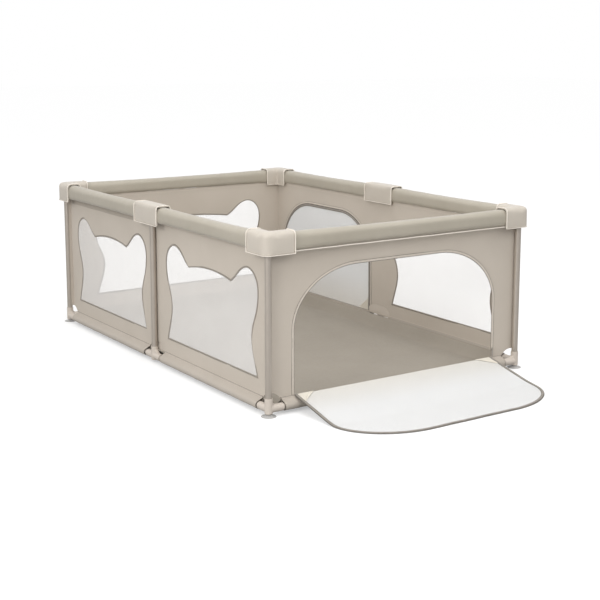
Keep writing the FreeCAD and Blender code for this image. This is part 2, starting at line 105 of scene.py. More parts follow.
WALL_CLOTH = Finish("wall_cloth", Make.WOVEN, "wall_fabric", (0.560, 0.500, 0.430), (0.515, 0.458, 0.390),
                    0.82, 0.22, 0.0016, 0.15, (0.0600, 0.5925))
SLEEVE_CLOTH = Finish("sleeve_cloth", Make.WOVEN, "wall_fabric", (0.490, 0.438, 0.378), (0.441, 0.393, 0.338),
                      0.80, 0.25, 0.0016, 0.15, (0.0530,))
RAIL_CLOTH = Finish("rail_cloth", Make.WOVEN, "padded_cover_fabric", (0.425, 0.385, 0.315), (0.385, 0.347, 0.280),
                    0.46, 0.16, 0.0012, 0.20, (0.6055,))
CAP_CLOTH = Finish("cap_cloth", Make.WOVEN, "padded_cap_fabric", (0.565, 0.512, 0.442), (0.520, 0.469, 0.402),
                   0.50, 0.14, 0.0012, 0.20, (0.5970,))
FLOOR_CLOTH = Finish("floor_cloth", Make.WOVEN, "floor_fabric", (0.340, 0.303, 0.252), (0.311, 0.276, 0.228),
                     0.80, 0.20, 0.0018, 0.10)
DOOR_CLOTH = Finish("door_cloth", Make.WOVEN, "wall_fabric", (0.720, 0.670, 0.580), (0.660, 0.612, 0.525),
                    0.80, 0.25, 0.0014, 0.10)
NETTING = Finish("netting", Make.NET, "white_mesh", (0.850, 0.838, 0.828), (0.815, 0.803, 0.793), 0.75, 0.3, 0.0022,
                 glow=0.15)
# Painted shade: the doors' netting is the windows' white netting coloured darker.
SHADED_DOOR_NETTING = Finish("door_netting", Make.NET, "white_mesh", (0.740, 0.740, 0.736), (0.715, 0.715, 0.710), 0.75,
                      0.3, 0.0020, hinge_shade=(0.690, 0.655, 0.590), cover=0.44, glow=0.07)
BINDING = Finish("binding", Make.TAPE, "binding_tape", (0.290, 0.258, 0.220), (0.235, 0.208, 0.176), 0.70, 0.35)
DOOR_BINDING = Finish("door_binding", Make.TAPE, "binding_tape", (0.270, 0.245, 0.215), (0.215, 0.195, 0.170), 0.70,
                      0.35)
ZIP_TAPE = Finish("zip_tape", Make.TAPE, "zip_tape", (0.600, 0.540, 0.470), (0.540, 0.484, 0.418), 0.60, 0.30)
# Painted shadow: a dark cord laid in a seam for the shadow in its groove.
SEAM_SHADOW_CORD = Finish("seam_shadow_cord", Make.TAPE, "zip_tape", (0.230, 0.204, 0.172), (0.190, 0.168, 0.142), 0.75, 0.30)
# Partly painted shade: a real band of the wall cloth, coloured darker for the shade under the rail.
HEM_SHADE_CLOTH = Finish("hem_shade_cloth", Make.WOVEN, "wall_fabric", (0.430, 0.380, 0.320), (0.390, 0.344, 0.288), 0.80,
                   0.22, 0.0016, 0.1)
PIPING = Finish("piping", Make.TAPE, "padded_cap_fabric", (0.840, 0.780, 0.700), (0.760, 0.700, 0.620), 0.60, 0.3)
TEETH = Finish("zip_teeth", Make.MOULDED, "zip_tape", (0.190, 0.168, 0.145), (0.160, 0.142, 0.122), 0.42, 0.1)
PLASTIC = Finish("connector_plastic", Make.MOULDED, "connector_plastic", (0.600, 0.535, 0.470),
                 (0.565, 0.503, 0.440), 0.42, 0.12)
PAINT = Finish("painted_steel", Make.PAINTED, "painted_steel", (0.500, 0.447, 0.390), (0.480, 0.428, 0.372),
               0.34, 0.01)
PLATED = Finish("plated_metal", Make.METAL, "zip_metal", (0.560, 0.520, 0.470), (0.480, 0.445, 0.400), 0.34, 0.15)
SOFT_RUBBER = Finish("soft_rubber", Make.RUBBER, "soft_foot", (0.560, 0.545, 0.530), (0.500, 0.487, 0.472),
                     0.45, 0.12)


class Nodes:
    """A material's node tree, with short ways to add the nodes that the finishes share."""

    def __init__(self, name: str) -> None:
        """Starts a material.

        Args:
            name: what the material is called.
        """
        self.material = bpy.data.materials.new(name)
        self.material.use_nodes = True
        self.tree = self.material.node_tree
        self.shader = self.tree.nodes["Principled BSDF"]
        self.place = self.add("ShaderNodeTexCoord").outputs["Object"]

    def add(self, kind: str, **settings: object) -> bpy.types.Node:
        """Adds one node.

        Args:
            kind: the node's type.
            settings: its properties.

        Returns:
            The node.
        """
        node = self.tree.nodes.new(kind)
        for key, value in settings.items():
            setattr(node, key, value)
        return node

    def feed(self, socket: bpy.types.NodeSocket, value: object) -> None:
        """Links an output to a socket, or sets a plain value on it."""
        if isinstance(value, bpy.types.NodeSocket):
            self.tree.links.new(value, socket)
        else:
            socket.default_value = value

    def sum(self, operation: str, *values: object) -> bpy.types.NodeSocket:
        """One Math node.

        Args:
            operation: the sum to do.
            values: its inputs, sockets or numbers.

        Returns:
            The result.
        """
        node = self.add("ShaderNodeMath", operation=operation)
        for socket, value in zip(node.inputs, values):
            self.feed(socket, value)
        return node.outputs[0]

    def noise(self, scale: float, detail: float = 2.0) -> bpy.types.NodeSocket:
        """Soft noise over the surface, from 0 to 1.

        Args:
            scale: how many features there are in a metre, about.
            detail: how many finer layers it has.

        Returns:
            The noise.
        """
        node = self.add("ShaderNodeTexNoise")
        self.feed(node.inputs["Vector"], self.place)
        self.feed(node.inputs["Scale"], scale)
        self.feed(node.inputs["Detail"], detail)
        return node.outputs["Fac"]

    def spread(self, value: object, low: float, high: float, start: float = 0.0,
               end: float = 1.0) -> bpy.types.NodeSocket:
        """A value taken from one range to another, and held inside it.

        Args:
            value: what is changed.
            low: result at the start of the range.
            high: result at its end.
            start: start of the range.
            end: end of the range.

        Returns:
            The new value.
        """
        node = self.add("ShaderNodeMapRange")
        for index, number in enumerate((value, start, end, low, high)):
            self.feed(node.inputs[index], number)
        return node.outputs[0]

    def blend(self, share: object, first: object, second: object) -> bpy.types.NodeSocket:
        """A colour between two others.

        Args:
            share: how much of the second there is.
            first: a colour or an output.
            second: a colour or an output.

        Returns:
            The colour.
        """
        node = self.add("ShaderNodeMix", data_type="RGBA")
        self.feed(node.inputs["Factor"], share)
        for socket, value in ((node.inputs[6], first), (node.inputs[7], second)):
            self.feed(socket, (*value, 1.0) if isinstance(value, tuple) else value)
        return node.outputs[2]

    def weave(self, pitch: float) -> bpy.types.NodeSocket:
        """Over-and-under threads in whichever plane the surface faces, from -1 to 1.

        Args:
            pitch: from one thread to the next but one, in metres.

        Returns:
            The height of the threads.
        """
        split = self.add("ShaderNodeSeparateXYZ")
        self.feed(split.inputs[0], self.place)
        waves = [self.sum("SINE", self.sum("MULTIPLY", output, math.tau / pitch)) for output in split.outputs]
        facing = self.add("ShaderNodeSeparateXYZ")
        self.feed(facing.inputs[0], self.add("ShaderNodeNewGeometry").outputs["Normal"])
        total: object = 0.0
        for index in range(3):
            pair = self.sum("MULTIPLY", waves[(index + 1) % 3], waves[(index + 2) % 3])
            share = self.sum("ABSOLUTE", facing.outputs[index])
            total = self.sum("ADD", total, self.sum("MULTIPLY", pair, share))
        return total

    def stitches(self, along: object, across: object, middle: float, length: float = 0.0042) -> bpy.types.NodeSocket:
        """A row of stitches, 1 on the thread and 0 off it.

        Args:
            along: distance along the seam.
            across: distance across it.
            middle: where the row lies across it.
            length: of one stitch and its gap.

        Returns:
            The mask.
        """
        off = self.sum("ABSOLUTE", self.sum("SUBTRACT", across, middle))
        line = self.spread(off, 1.0, 0.0, 0.0003, 0.0007)
        dash = self.spread(self.sum("SINE", self.sum("MULTIPLY", along, math.tau / length)), 0.0, 1.0, -0.7, -0.3)
        return self.sum("MULTIPLY", line, dash)

    def relief(self, height: object, strength: float, depth: float) -> None:
        """Raises the surface by a height, as seen in its shading.

        Args:
            height: from the nodes before it.
            strength: how strongly it shows.
            depth: of a height of 1, in metres.
        """
        bump = self.add("ShaderNodeBump")
        self.feed(bump.inputs["Strength"], strength)
        self.feed(bump.inputs["Distance"], depth)
        self.feed(bump.inputs["Height"], height)
        self.feed(self.shader.inputs["Normal"], bump.outputs[0])

    def attribute(self, name: str) -> bpy.types.NodeSocket:
        """A number that the mesh stores at its points."""
        return self.add("ShaderNodeAttribute", attribute_name=name).outputs["Fac"]


class Dresser:
    """Makes each finish's material once, and gives it to pieces."""

    def __init__(self) -> None:
        """Starts with no materials made."""
        self.made: dict[str, bpy.types.Material] = {}

    def material(self, finish: Finish) -> bpy.types.Material:
        """The material of a finish.

        Args:
            finish: what the surface is.

        Returns:
            Its material, made when first asked for.
        """
        if finish.name not in self.made:
            nodes = Nodes(finish.name)
            nodes.shader.inputs["Roughness"].default_value = finish.rough
            nodes.shader.inputs["Sheen Weight"].default_value = finish.sheen
            nodes.shader.inputs["Sheen Roughness"].default_value = 0.45
            recipe = {Make.WOVEN: self.woven, Make.NET: self.net, Make.TAPE: self.tape, Make.MOULDED: self.moulded,
                      Make.PAINTED: self.painted, Make.METAL: self.metal, Make.RUBBER: self.rubber}[finish.make]
            recipe(nodes, finish)
            self.made[finish.name] = nodes.material
        return self.made[finish.name]

    def woven(self, nodes: Nodes, finish: Finish) -> None:
        """Woven cloth with threads, soft unevenness and rows of stitches at its seams."""
        threads = nodes.weave(finish.pitch)
        cloudy = nodes.noise(5.0, 3.0)
        flecks = nodes.noise(420.0, 2.0)
        share = nodes.sum("ADD", nodes.spread(cloudy, 0.0, 0.7, 0.3, 0.7), nodes.spread(flecks, 0.0, 0.3, 0.35, 0.65))
        colour = nodes.blend(share, finish.main, finish.deep)
        gap = nodes.spread(threads, 0.16, 0.0, -1.0, 0.4)
        shade = tuple(channel * 0.62 for channel in finish.deep)
        colour = nodes.blend(gap, colour, shade)
        height: object = nodes.sum("ADD", nodes.sum("MULTIPLY", threads, 0.5), nodes.sum("MULTIPLY", flecks, 0.6))
        if finish.seam_heights:
            split = nodes.add("ShaderNodeSeparateXYZ")
            nodes.feed(split.inputs[0], nodes.place)
            run = nodes.sum("ADD", split.outputs[0], split.outputs[1])
            thread = tuple(min(1.0, channel * 1.25) for channel in finish.main)
            for level in finish.seam_heights:
                mask = nodes.stitches(run, split.outputs[2], level)
                colour = nodes.blend(mask, colour, thread)
                groove = nodes.spread(nodes.sum("ABSOLUTE", nodes.sum("SUBTRACT", split.outputs[2], level)),
                                      -1.2, 0.0, 0.0, 0.0018)
                height = nodes.sum("ADD", height, nodes.sum("ADD", groove, mask))
        nodes.feed(nodes.shader.inputs["Base Color"], colour)
        uneven = nodes.spread(nodes.noise(60.0, 3.0), finish.rough - 0.06, finish.rough + 0.08, 0.3, 0.7)
        nodes.feed(nodes.shader.inputs["Roughness"], uneven)
        nodes.relief(height, finish.relief, 0.0005)

    def net(self, nodes: Nodes, finish: Finish) -> None:
        """Fine netting: threads that hide what is behind them, with holes between."""
        threads = nodes.spread(nodes.weave(finish.pitch), 0.0, 1.0, -0.5, 0.5)
        soft = nodes.noise(7.0, 2.0)
        colour = nodes.blend(soft, finish.main, finish.deep)
        if finish.hinge_shade is not None:
            # Painted shade: near the hinge the colour goes to a darker cream, for the sleeve and the shade under the
            # door seen through the net.
            colour = nodes.blend(nodes.spread(nodes.attribute("reach"), 0.8, 0.0, 0.0, 0.16), colour, finish.hinge_shade)
        nodes.feed(nodes.shader.inputs["Base Color"], colour)
        # Painted light: the net glows in its own main colour, by its finish's glow, which brightens it.
        nodes.shader.inputs["Emission Color"].default_value = (*finish.main, 1.0)
        nodes.shader.inputs["Emission Strength"].default_value = finish.glow
        low, high = 0.20 + finish.cover, 0.46 + finish.cover
        nodes.feed(nodes.shader.inputs["Alpha"], nodes.sum("ADD", nodes.spread(threads, low, high),
                                                           nodes.spread(soft, -0.015, 0.015, 0.3, 0.7)))
        nodes.relief(threads, finish.relief, 0.0003)

    def tape(self, nodes: Nodes, finish: Finish) -> None:
        """Ribbed tape with a row of stitches near each edge, following its own length."""
        along, across = nodes.attribute("along"), nodes.attribute("across")
        ribs = nodes.sum("SINE", nodes.sum("MULTIPLY", along, math.tau / 0.0011))
        colour = nodes.blend(nodes.spread(nodes.noise(90.0, 3.0), 0.0, 1.0, 0.3, 0.7), finish.main, finish.deep)
        # Painted shade: the colour darkens in the troughs between the ribs.
        colour = nodes.blend(nodes.spread(ribs, 0.18, 0.0, -1.0, 0.2), colour,
                             tuple(channel * 0.6 for channel in finish.deep))
        mask = nodes.sum("MAXIMUM", nodes.stitches(along, across, 0.0016), nodes.stitches(along, across, 0.0052))
        colour = nodes.blend(mask, colour, tuple(min(1.0, channel * 1.5) for channel in finish.main))
        nodes.feed(nodes.shader.inputs["Base Color"], colour)
        uneven = nodes.spread(nodes.noise(150.0, 2.0), finish.rough - 0.05, finish.rough + 0.08, 0.3, 0.7)
        nodes.feed(nodes.shader.inputs["Roughness"], uneven)
        nodes.relief(nodes.sum("ADD", nodes.sum("MULTIPLY", ribs, 0.4), mask), finish.relief, 0.0004)

    def moulded(self, nodes: Nodes, finish: Finish) -> None:
        """Moulded plastic: a fine even grain with slight differences in colour and gloss."""
        grain = nodes.noise(900.0, 2.0)
        colour = nodes.blend(nodes.spread(nodes.noise(18.0, 3.0), 0.0, 1.0, 0.3, 0.7), finish.main, finish.deep)
        nodes.feed(nodes.shader.inputs["Base Color"], colour)
        uneven = nodes.spread(nodes.noise(45.0, 4.0), finish.rough - 0.06, finish.rough + 0.10, 0.3, 0.7)
        nodes.feed(nodes.shader.inputs["Roughness"], uneven)
        nodes.relief(grain, finish.relief, 0.0003)

    def painted(self, nodes: Nodes, finish: Finish) -> None:
        """Steel under a thin satin lacquer that still shines like metal."""
        self.moulded(nodes, finish)
        nodes.shader.inputs["Metallic"].default_value = 0.60
        nodes.shader.inputs["Coat Weight"].default_value = 0.35
        nodes.shader.inputs["Coat Roughness"].default_value = 0.12

    def metal(self, nodes: Nodes, finish: Finish) -> None:
        """Plated metal with fine brushing."""
        self.moulded(nodes, finish)
        nodes.shader.inputs["Metallic"].default_value = 0.9

    def rubber(self, nodes: Nodes, finish: Finish) -> None:
        """Clear soft rubber that lets a little light through."""
        self.moulded(nodes, finish)
        nodes.feed(nodes.shader.inputs["Alpha"], nodes.spread(nodes.noise(40.0, 2.0), 0.62, 0.82, 0.3, 0.7))

    def dress(self, piece: bpy.types.Object, finish: Finish, smooth: Optional[float] = 35.0) -> None:
        """Gives a piece a finish.

        Args:
            piece: the object.
            finish: its surface.
            smooth: the sharpest edge in degrees that is shaded round, or None for a CAD node, which stays as it is.
        """
        piece.data.materials.clear()
        piece.data.materials.append(self.material(finish))
        if smooth is not None:
            pick(piece)
            bpy.ops.object.shade_smooth_by_angle(angle=math.radians(smooth))


DRESSER = Dresser()


# ---------------------------------------------------------------- ways to model
def pick(*pieces: bpy.types.Object) -> None:
    """Deselects everything, then selects these and makes the first one active."""
    bpy.ops.object.select_all(action="DESELECT")
    for piece in pieces:
        piece.select_set(True)
    if pieces:
        bpy.context.view_layer.objects.active = pieces[0]


def named(name: str) -> bpy.types.Object:
    """The primitive just added, named, with its place and size put into its mesh."""
    piece = bpy.context.object
    piece.name = name
    piece.data.name = name
    bpy.ops.object.transform_apply(location=True, rotation=True, scale=True)
    return piece


def points_of(piece: bpy.types.Object) -> np.ndarray:
    """Every vertex of a mesh, one a row."""
    found = np.empty(len(piece.data.vertices) * 3)
    piece.data.vertices.foreach_get("co", found)
    return found.reshape(-1, 3)


def put_points(piece: bpy.types.Object, places: np.ndarray) -> None:
    """Moves every vertex of a mesh to the rows given."""
    piece.data.vertices.foreach_set("co", np.asarray(places, float).ravel())
    piece.data.update()


def modify(piece: bpy.types.Object, kind: str, **settings: object) -> None:
    """Adds a modifier and applies it.

    Args:
        piece: the object.
        kind: the modifier's type.
        settings: its properties.
    """
    modifier = piece.modifiers.new(kind.lower(), kind)
    for key, value in settings.items():
        setattr(modifier, key, value)
    pick(piece)
    bpy.ops.object.modifier_apply(modifier=modifier.name)


def in_edit(piece: bpy.types.Object, work: Callable[[], object]) -> None:
    """Runs operators in edit mode with the whole mesh selected.

    Args:
        piece: the object.
        work: calls the operators.
    """
    pick(piece)
    bpy.ops.object.mode_set(mode="EDIT")
    bpy.ops.mesh.select_all(action="SELECT")
    work()
    bpy.ops.object.mode_set(mode="OBJECT")


def outward(piece: bpy.types.Object) -> None:
    """Merges doubled points and turns every face outwards."""
    in_edit(piece, lambda: (bpy.ops.mesh.remove_doubles(threshold=SAME),
                            bpy.ops.mesh.normals_make_consistent(inside=False)))


def cut(piece: bpy.types.Object, cutter: bpy.types.Object, operation: str = "DIFFERENCE") -> None:
    """Cuts one closed mesh with another, and removes the cutter.

    Args:
        piece: what is cut.
        cutter: what cuts it.
        operation: DIFFERENCE or INTERSECT.
    """
    modify(piece, "BOOLEAN", operation=operation, solver="EXACT", object=cutter)
    bpy.data.objects.remove(cutter)


def block(name: str, low: Sequence[float], high: Sequence[float]) -> bpy.types.Object:
    """A box between two corners.

    Args:
        name: of the piece.
        low: its lowest corner.
        high: its highest corner.

    Returns:
        The piece.
    """
    pick()
    low_corner, high_corner = Vector(low), Vector(high)
    bpy.ops.mesh.primitive_cube_add(size=1.0, location=(low_corner + high_corner) / 2)
    bpy.context.object.scale = high_corner - low_corner
    return named(name)


def plate(name: str, outline: np.ndarray, near: float, far: float) -> bpy.types.Object:
    """A flat plate in the wall's plane: a disc whose rim takes an outline, extruded square to it.

    Args:
        name: of the piece.
        outline: closed, one point a row, across and up.
        near: where it starts, square to the wall.
        far: where it ends.

    Returns:
        The piece.
    """
    pick()
    bpy.ops.mesh.primitive_circle_add(vertices=len(outline), radius=1.0, fill_type="NGON")
    piece = named(name)
    put_points(piece, np.column_stack([outline[:, 0], np.full(len(outline), near), outline[:, 1]]))
    in_edit(piece, lambda: bpy.ops.mesh.extrude_region_move(TRANSFORM_OT_translate={"value": (0, far - near, 0)}))
    outward(piece)
    return piece


def sheet_of(name: str, places: np.ndarray) -> bpy.types.Object:
    """A grid whose points take the places given.

    Args:
        name: of the piece.
        places: an array of rows, columns and three numbers.

    Returns:
        The piece, open and with no thickness.
    """
    pick()
    rows, columns = places.shape[:2]
    bpy.ops.mesh.primitive_grid_add(x_subdivisions=columns - 1, y_subdivisions=rows - 1, size=1.0)
    piece = named(name)
    put_points(piece, places.reshape(-1, 3))
    return piece


def cloth_grid(name: str, low: Sequence[float], high: Sequence[float], cell: float,
               thickness: float) -> bpy.types.Object:
    """A flat sheet of even cells in the middle of a wall.

    Args:
        name: of the piece.
        low: its lower left corner, across and up.
        high: its upper right corner.
        cell: about how wide a cell is.
        thickness: of the sheet.

    Returns:
        The piece, closed.
    """
    columns, rows = (round((float(end) - float(start)) / cell) + 1 for start, end in zip(low, high))
    across, up = np.meshgrid(np.linspace(low[0], high[0], columns), np.linspace(low[1], high[1], rows))
    piece = sheet_of(name, np.stack([across, np.full(across.shape, -WALL_LINE), up], -1))
    modify(piece, "SOLIDIFY", thickness=thickness, offset=0.0)
    outward(piece)
    return piece


def ribbon(name: str, first: np.ndarray, second: np.ndarray, level: float, thickness: float,
           closed: bool) -> bpy.types.Object:
    """A flat tape in the wall's plane between two matching outlines, with rounded edges.

    Args:
        name: of the piece.
        first: one edge, across and up.
        second: the other edge, with as many points.
        level: of its middle, square to the wall.
        thickness: of the tape.
        closed: True where it goes all the way round.

    Returns:
        The piece, which stores how far along and across the tape each point lies.
    """
    shares = np.array([0.0, 0.5, 1.0])
    if closed:
        first, second = (np.vstack([edge, edge[:1]]) for edge in (first, second))
    flat = first[None] + (second - first)[None] * shares[:, None, None]
    places = np.stack([flat[..., 0], np.full(flat.shape[:2], level), flat[..., 1]], axis=-1)
    piece = sheet_of(name, places)
    in_edit(piece, lambda: bpy.ops.mesh.remove_doubles(threshold=SAME))
    modify(piece, "SOLIDIFY", thickness=thickness, offset=0.0)
    modify(piece, "BEVEL", width=thickness * 0.3, segments=2, limit_method="ANGLE", angle_limit=math.radians(50))
    outward(piece)
    measure_along(piece, first)
    return piece


def measure_along(piece: bpy.types.Object, line: np.ndarray) -> None:
    """Stores at every point how far along and across from a line in the wall's plane it lies.

    Args:
        piece: the object, still in its wall's plane.
        line: across and up, one point a row.
    """
    found = points_of(piece)[:, [0, 2]]
    start, step = line[:-1], np.diff(line, axis=0)
    length = np.maximum(np.linalg.norm(step, axis=1), 1e-9)
    along = np.concatenate([[0.0], np.cumsum(length)[:-1]])
    share = np.clip(((found[:, None] - start) * step).sum(-1) / length ** 2, 0.0, 1.0)
    off = np.linalg.norm(found[:, None] - start - step * share[..., None], axis=-1)
    nearest = off.argmin(axis=1)
    rows = np.arange(len(found))
    store(piece, "along", along[nearest] + share[rows, nearest] * length[nearest])
    store(piece, "across", off[rows, nearest])


def run_of(path: np.ndarray) -> np.ndarray:
    """How far along a path each of its points lies."""
    return np.concatenate([[0.0], np.cumsum(np.linalg.norm(np.diff(path, axis=0), axis=1))])


def store(piece: bpy.types.Object, name: str, values: np.ndarray) -> None:
    """Keeps one number at each point of a mesh, for its material to read."""
    layer = piece.data.attributes.new(name, "FLOAT", "POINT")
    layer.data.foreach_set("value", np.asarray(values, np.float32))


def cord_along(name: str, path: np.ndarray, radius: float, closed: bool = False) -> bpy.types.Object:
    """A round cord along a path, as a closed mesh.

    Args:
        name: of the piece.
        path: one point a row.
        radius: of the cord.
        closed: True where it goes all the way round.

    Returns:
        The piece.
    """
    data = bpy.data.curves.new(name, "CURVE")
    data.dimensions = "3D"
    data.bevel_depth = radius
    data.bevel_resolution = 3
    data.use_fill_caps = not closed
    line = data.splines.new("POLY")
    line.points.add(len(path) - 1)
    line.points.foreach_set("co", np.column_stack([path, np.ones(len(path))]).ravel())
    line.use_cyclic_u = closed
    piece = bpy.data.objects.new(name, data)
    bpy.context.scene.collection.objects.link(piece)
    pick(piece)
    bpy.ops.object.convert(target="MESH")
    piece = bpy.context.object
    outward(piece)
    found = points_of(piece)
    reach = run_of(path)
    store(piece, "along", reach[np.linalg.norm(found[:, None] - path[None], axis=-1).argmin(axis=1)])
    store(piece, "across", np.full(len(found), 0.0034))
    return piece


def twin(piece: bpy.types.Object, name: str) -> bpy.types.Object:
    """A copy with its own mesh."""
    copied = bpy.data.objects.new(name, piece.data.copy())
    copied.data.name = name
    bpy.context.scene.collection.objects.link(copied)
    return copied


def joined(name: str, pieces: list[bpy.types.Object]) -> bpy.types.Object:
    """Several meshes made one piece."""
    pick(*pieces)
    bpy.ops.object.join()
    pieces[0].name = name
    pieces[0].data.name = name
    return pieces[0]


def swell(piece: bpy.types.Object, pressure: float, reach: float, held: Optional[np.ndarray] = None) -> None:
    """Blows a closed fabric shape up like a stuffed pad, and keeps every point near where it was cut.

    Args:
        piece: the closed mesh.
        pressure: of the stuffing.
        reach: how far a point may move, in metres.
        held: True for each point that stays where it is, as at a sewn edge.
    """
    before = points_of(piece)
    cloth = piece.modifiers.new("cloth", "CLOTH")
    cloth.settings.quality = 5
    cloth.settings.use_pressure = True
    cloth.settings.uniform_pressure_force = pressure
    cloth.settings.effector_weights.gravity = 0.0
    cloth.settings.tension_stiffness = 25.0
    cloth.settings.compression_stiffness = 25.0
    cloth.collision_settings.use_collision = False
    if held is not None:
        group = piece.vertex_groups.new(name="sewn")
        group.add([int(index) for index in np.nonzero(held)[0]], 1.0, "REPLACE")
        cloth.settings.vertex_group_mass = group.name
    cloth.point_cache.frame_end = 20
    for number in range(1, 21):
        bpy.context.scene.frame_set(number)
    pick(piece)
    bpy.ops.object.modifier_apply(modifier=cloth.name)
    bpy.context.scene.frame_set(1)
    piece.vertex_groups.clear()
    moved = points_of(piece) - before
    far = np.maximum(np.linalg.norm(moved, axis=1, keepdims=True), 1e-9)
    soft = reach * np.tanh(far / reach)
    put_points(piece, before + moved / far * soft)


def ease(value: np.ndarray) -> np.ndarray:
    """From 0 to 1 with a soft start and end."""
    held = np.clip(value, 0.0, 1.0)
    return held * held * (3.0 - 2.0 * held)


class Slack:
    """Gentle unevenness of stretched cloth, the same every time for one seed."""

    def __init__(self, seed: int, size: float, longest: float, shortest: float, count: int = 7) -> None:
        """Draws the waves.

        Args:
            seed: of the random draw.
            size: of the whole, in metres.
            longest: the longest wave.
            shortest: the shortest wave.
            count: how many waves there are.
        """
        draw = np.random.default_rng(seed)
        turn = draw.uniform(0.0, math.tau, count)
        wave = math.tau / draw.uniform(shortest, longest, count)
        self.waves = np.column_stack([np.cos(turn) * wave, np.sin(turn) * wave])
        self.start = draw.uniform(0.0, math.tau, count)
        self.size = size / math.sqrt(count)

    def at(self, across: np.ndarray, up: np.ndarray) -> np.ndarray:
        """How far the cloth stands off at each point."""
        flat = np.stack([across, up], axis=-1)
        return self.size * np.sin(flat @ self.waves.T + self.start).sum(axis=-1)


# ---------------------------------------------------------------- outlines in a wall's plane
def smooth_line(points: np.ndarray, count: int) -> np.ndarray:
    """Even points along a smooth curve through a few given ones.

    Args:
        points: one a row.
        count: how many there are in the result.

    Returns:
        The points of a natural cubic curve.
    """
    reach = run_of(points)
    gaps = np.diff(reach)
    known = np.eye(len(points))
    right = np.zeros(points.shape)
    for i in range(1, len(points) - 1):
        known[i, i - 1:i + 2] = gaps[i - 1], 2 * (gaps[i - 1] + gaps[i]), gaps[i]
        right[i] = 6 * ((points[i + 1] - points[i]) / gaps[i] - (points[i] - points[i - 1]) / gaps[i - 1])
    bend = np.linalg.solve(known, right)
    at = np.linspace(0.0, reach[-1], count)
    i = np.clip(np.searchsorted(reach, at, side="right") - 1, 0, len(gaps) - 1)
    gap = gaps[i][:, None]
    a = (reach[i + 1] - at)[:, None] / gap
    b = 1.0 - a
    return a * points[i] + b * points[i + 1] + ((a ** 3 - a) * bend[i] + (b ** 3 - b) * bend[i + 1]) * gap ** 2 / 6


def moved_in(outline: np.ndarray, distance: float) -> np.ndarray:
    """A closed outline with each point moved inwards with its two sides.

    Args:
        outline: anticlockwise, one point a row.
        distance: how far its sides move.

    Returns:
        The new outline, with as many points.
    """
    ahead = np.roll(outline, -1, axis=0) - outline
    ahead /= np.linalg.norm(ahead, axis=1, keepdims=True)
    behind = np.roll(ahead, 1, axis=0)
    first = np.column_stack([-behind[:, 1], behind[:, 0]])
    second = np.column_stack([-ahead[:, 1], ahead[:, 0]])
    lean = 1.0 + (first * second).sum(axis=1, keepdims=True)
    return outline + (first + second) * distance / lean


@dataclass(frozen=True)
class WindowShape:
    """The ear-topped window of one panel."""

    half_width: float
    crown: float = 0.471
    edge: tuple[tuple[float, float], ...] = (
        (0.005, 0.117), (0.021, 0.169), (0.037, 0.217), (0.044, 0.265), (0.034, 0.312), (0.014, 0.357),
        (0.001, 0.408), (0.000, 0.447), (0.011, 0.483), (0.036, 0.510), (0.071, 0.523), (0.109, 0.516),
        (0.143, 0.495), (0.171, 0.471), (0.198, 0.4535))

    def outline(self) -> np.ndarray:
        """The closed outline, anticlockwise from its lower right corner."""
        side = smooth_line(np.array([(self.half_width - inset, height) for inset, height in self.edge]), 90)
        shoulder, height = side[-1]
        rise = self.crown - height
        radius = (shoulder ** 2 + rise ** 2) / (2 * rise)
        across = np.linspace(shoulder, -shoulder, 42)[1:-1]
        up = self.crown - radius + np.sqrt(radius ** 2 - across ** 2)
        other = side[::-1] * np.array([-1.0, 1.0])
        foot = np.column_stack([np.linspace(other[-1, 0], side[0, 0], 42)[1:-1], np.full(40, side[0, 1])])
        return np.vstack([side, np.column_stack([across, up]), other, foot])


@dataclass(frozen=True)
class DoorShape:
    """The arch of one doorway."""

    half_width: float
    round_width: float

    def arch(self, inset: float, foot: float = DOOR_FOOT) -> np.ndarray:
        """The open arch from its right foot over the crown to its left foot.

        Args:
            inset: how far inside the doorway's edge it runs.
            foot: height of both ends.

        Returns:
            Points across and up.
        """
        shoulder = DOOR_TOP - DOOR_ROUND_HEIGHT
        flat = self.half_width - self.round_width
        leg = np.linspace(foot, shoulder, 24)[:-1]
        turn = np.linspace(0.0, math.pi / 2, 40)
        bend = np.column_stack([flat + (self.round_width - inset) * np.cos(turn),
                                shoulder + (DOOR_ROUND_HEIGHT - inset) * np.sin(turn)])
        right = np.vstack([np.column_stack([np.full(len(leg), self.half_width - inset), leg]), bend])
        crown = np.column_stack([np.linspace(flat, -flat, 26)[1:-1], np.full(24, DOOR_TOP - inset)])
        return np.vstack([right, crown, right[::-1] * np.array([-1.0, 1.0])])


# ---------------------------------------------------------------- places round the pen
@dataclass(frozen=True)
class Panel:
    """One stretch of wall between two posts, drawn at the origin with +Y outwards and then put in place."""

    name: str
    turn: float
    centre: tuple[float, float]
    span: float
    mid_end: int = 0             # the end at a middle post: -1, +1, or 0 where both ends are corners

    def put(self, piece: bpy.types.Object) -> bpy.types.Object:
        """Turns and moves a piece's mesh to this stretch, and returns the piece."""
        turned = Matrix.Rotation(math.radians(self.turn), 4, "Z")
        piece.data.transform(Matrix.Translation((*self.centre, 0.0)) @ turned)
        return piece


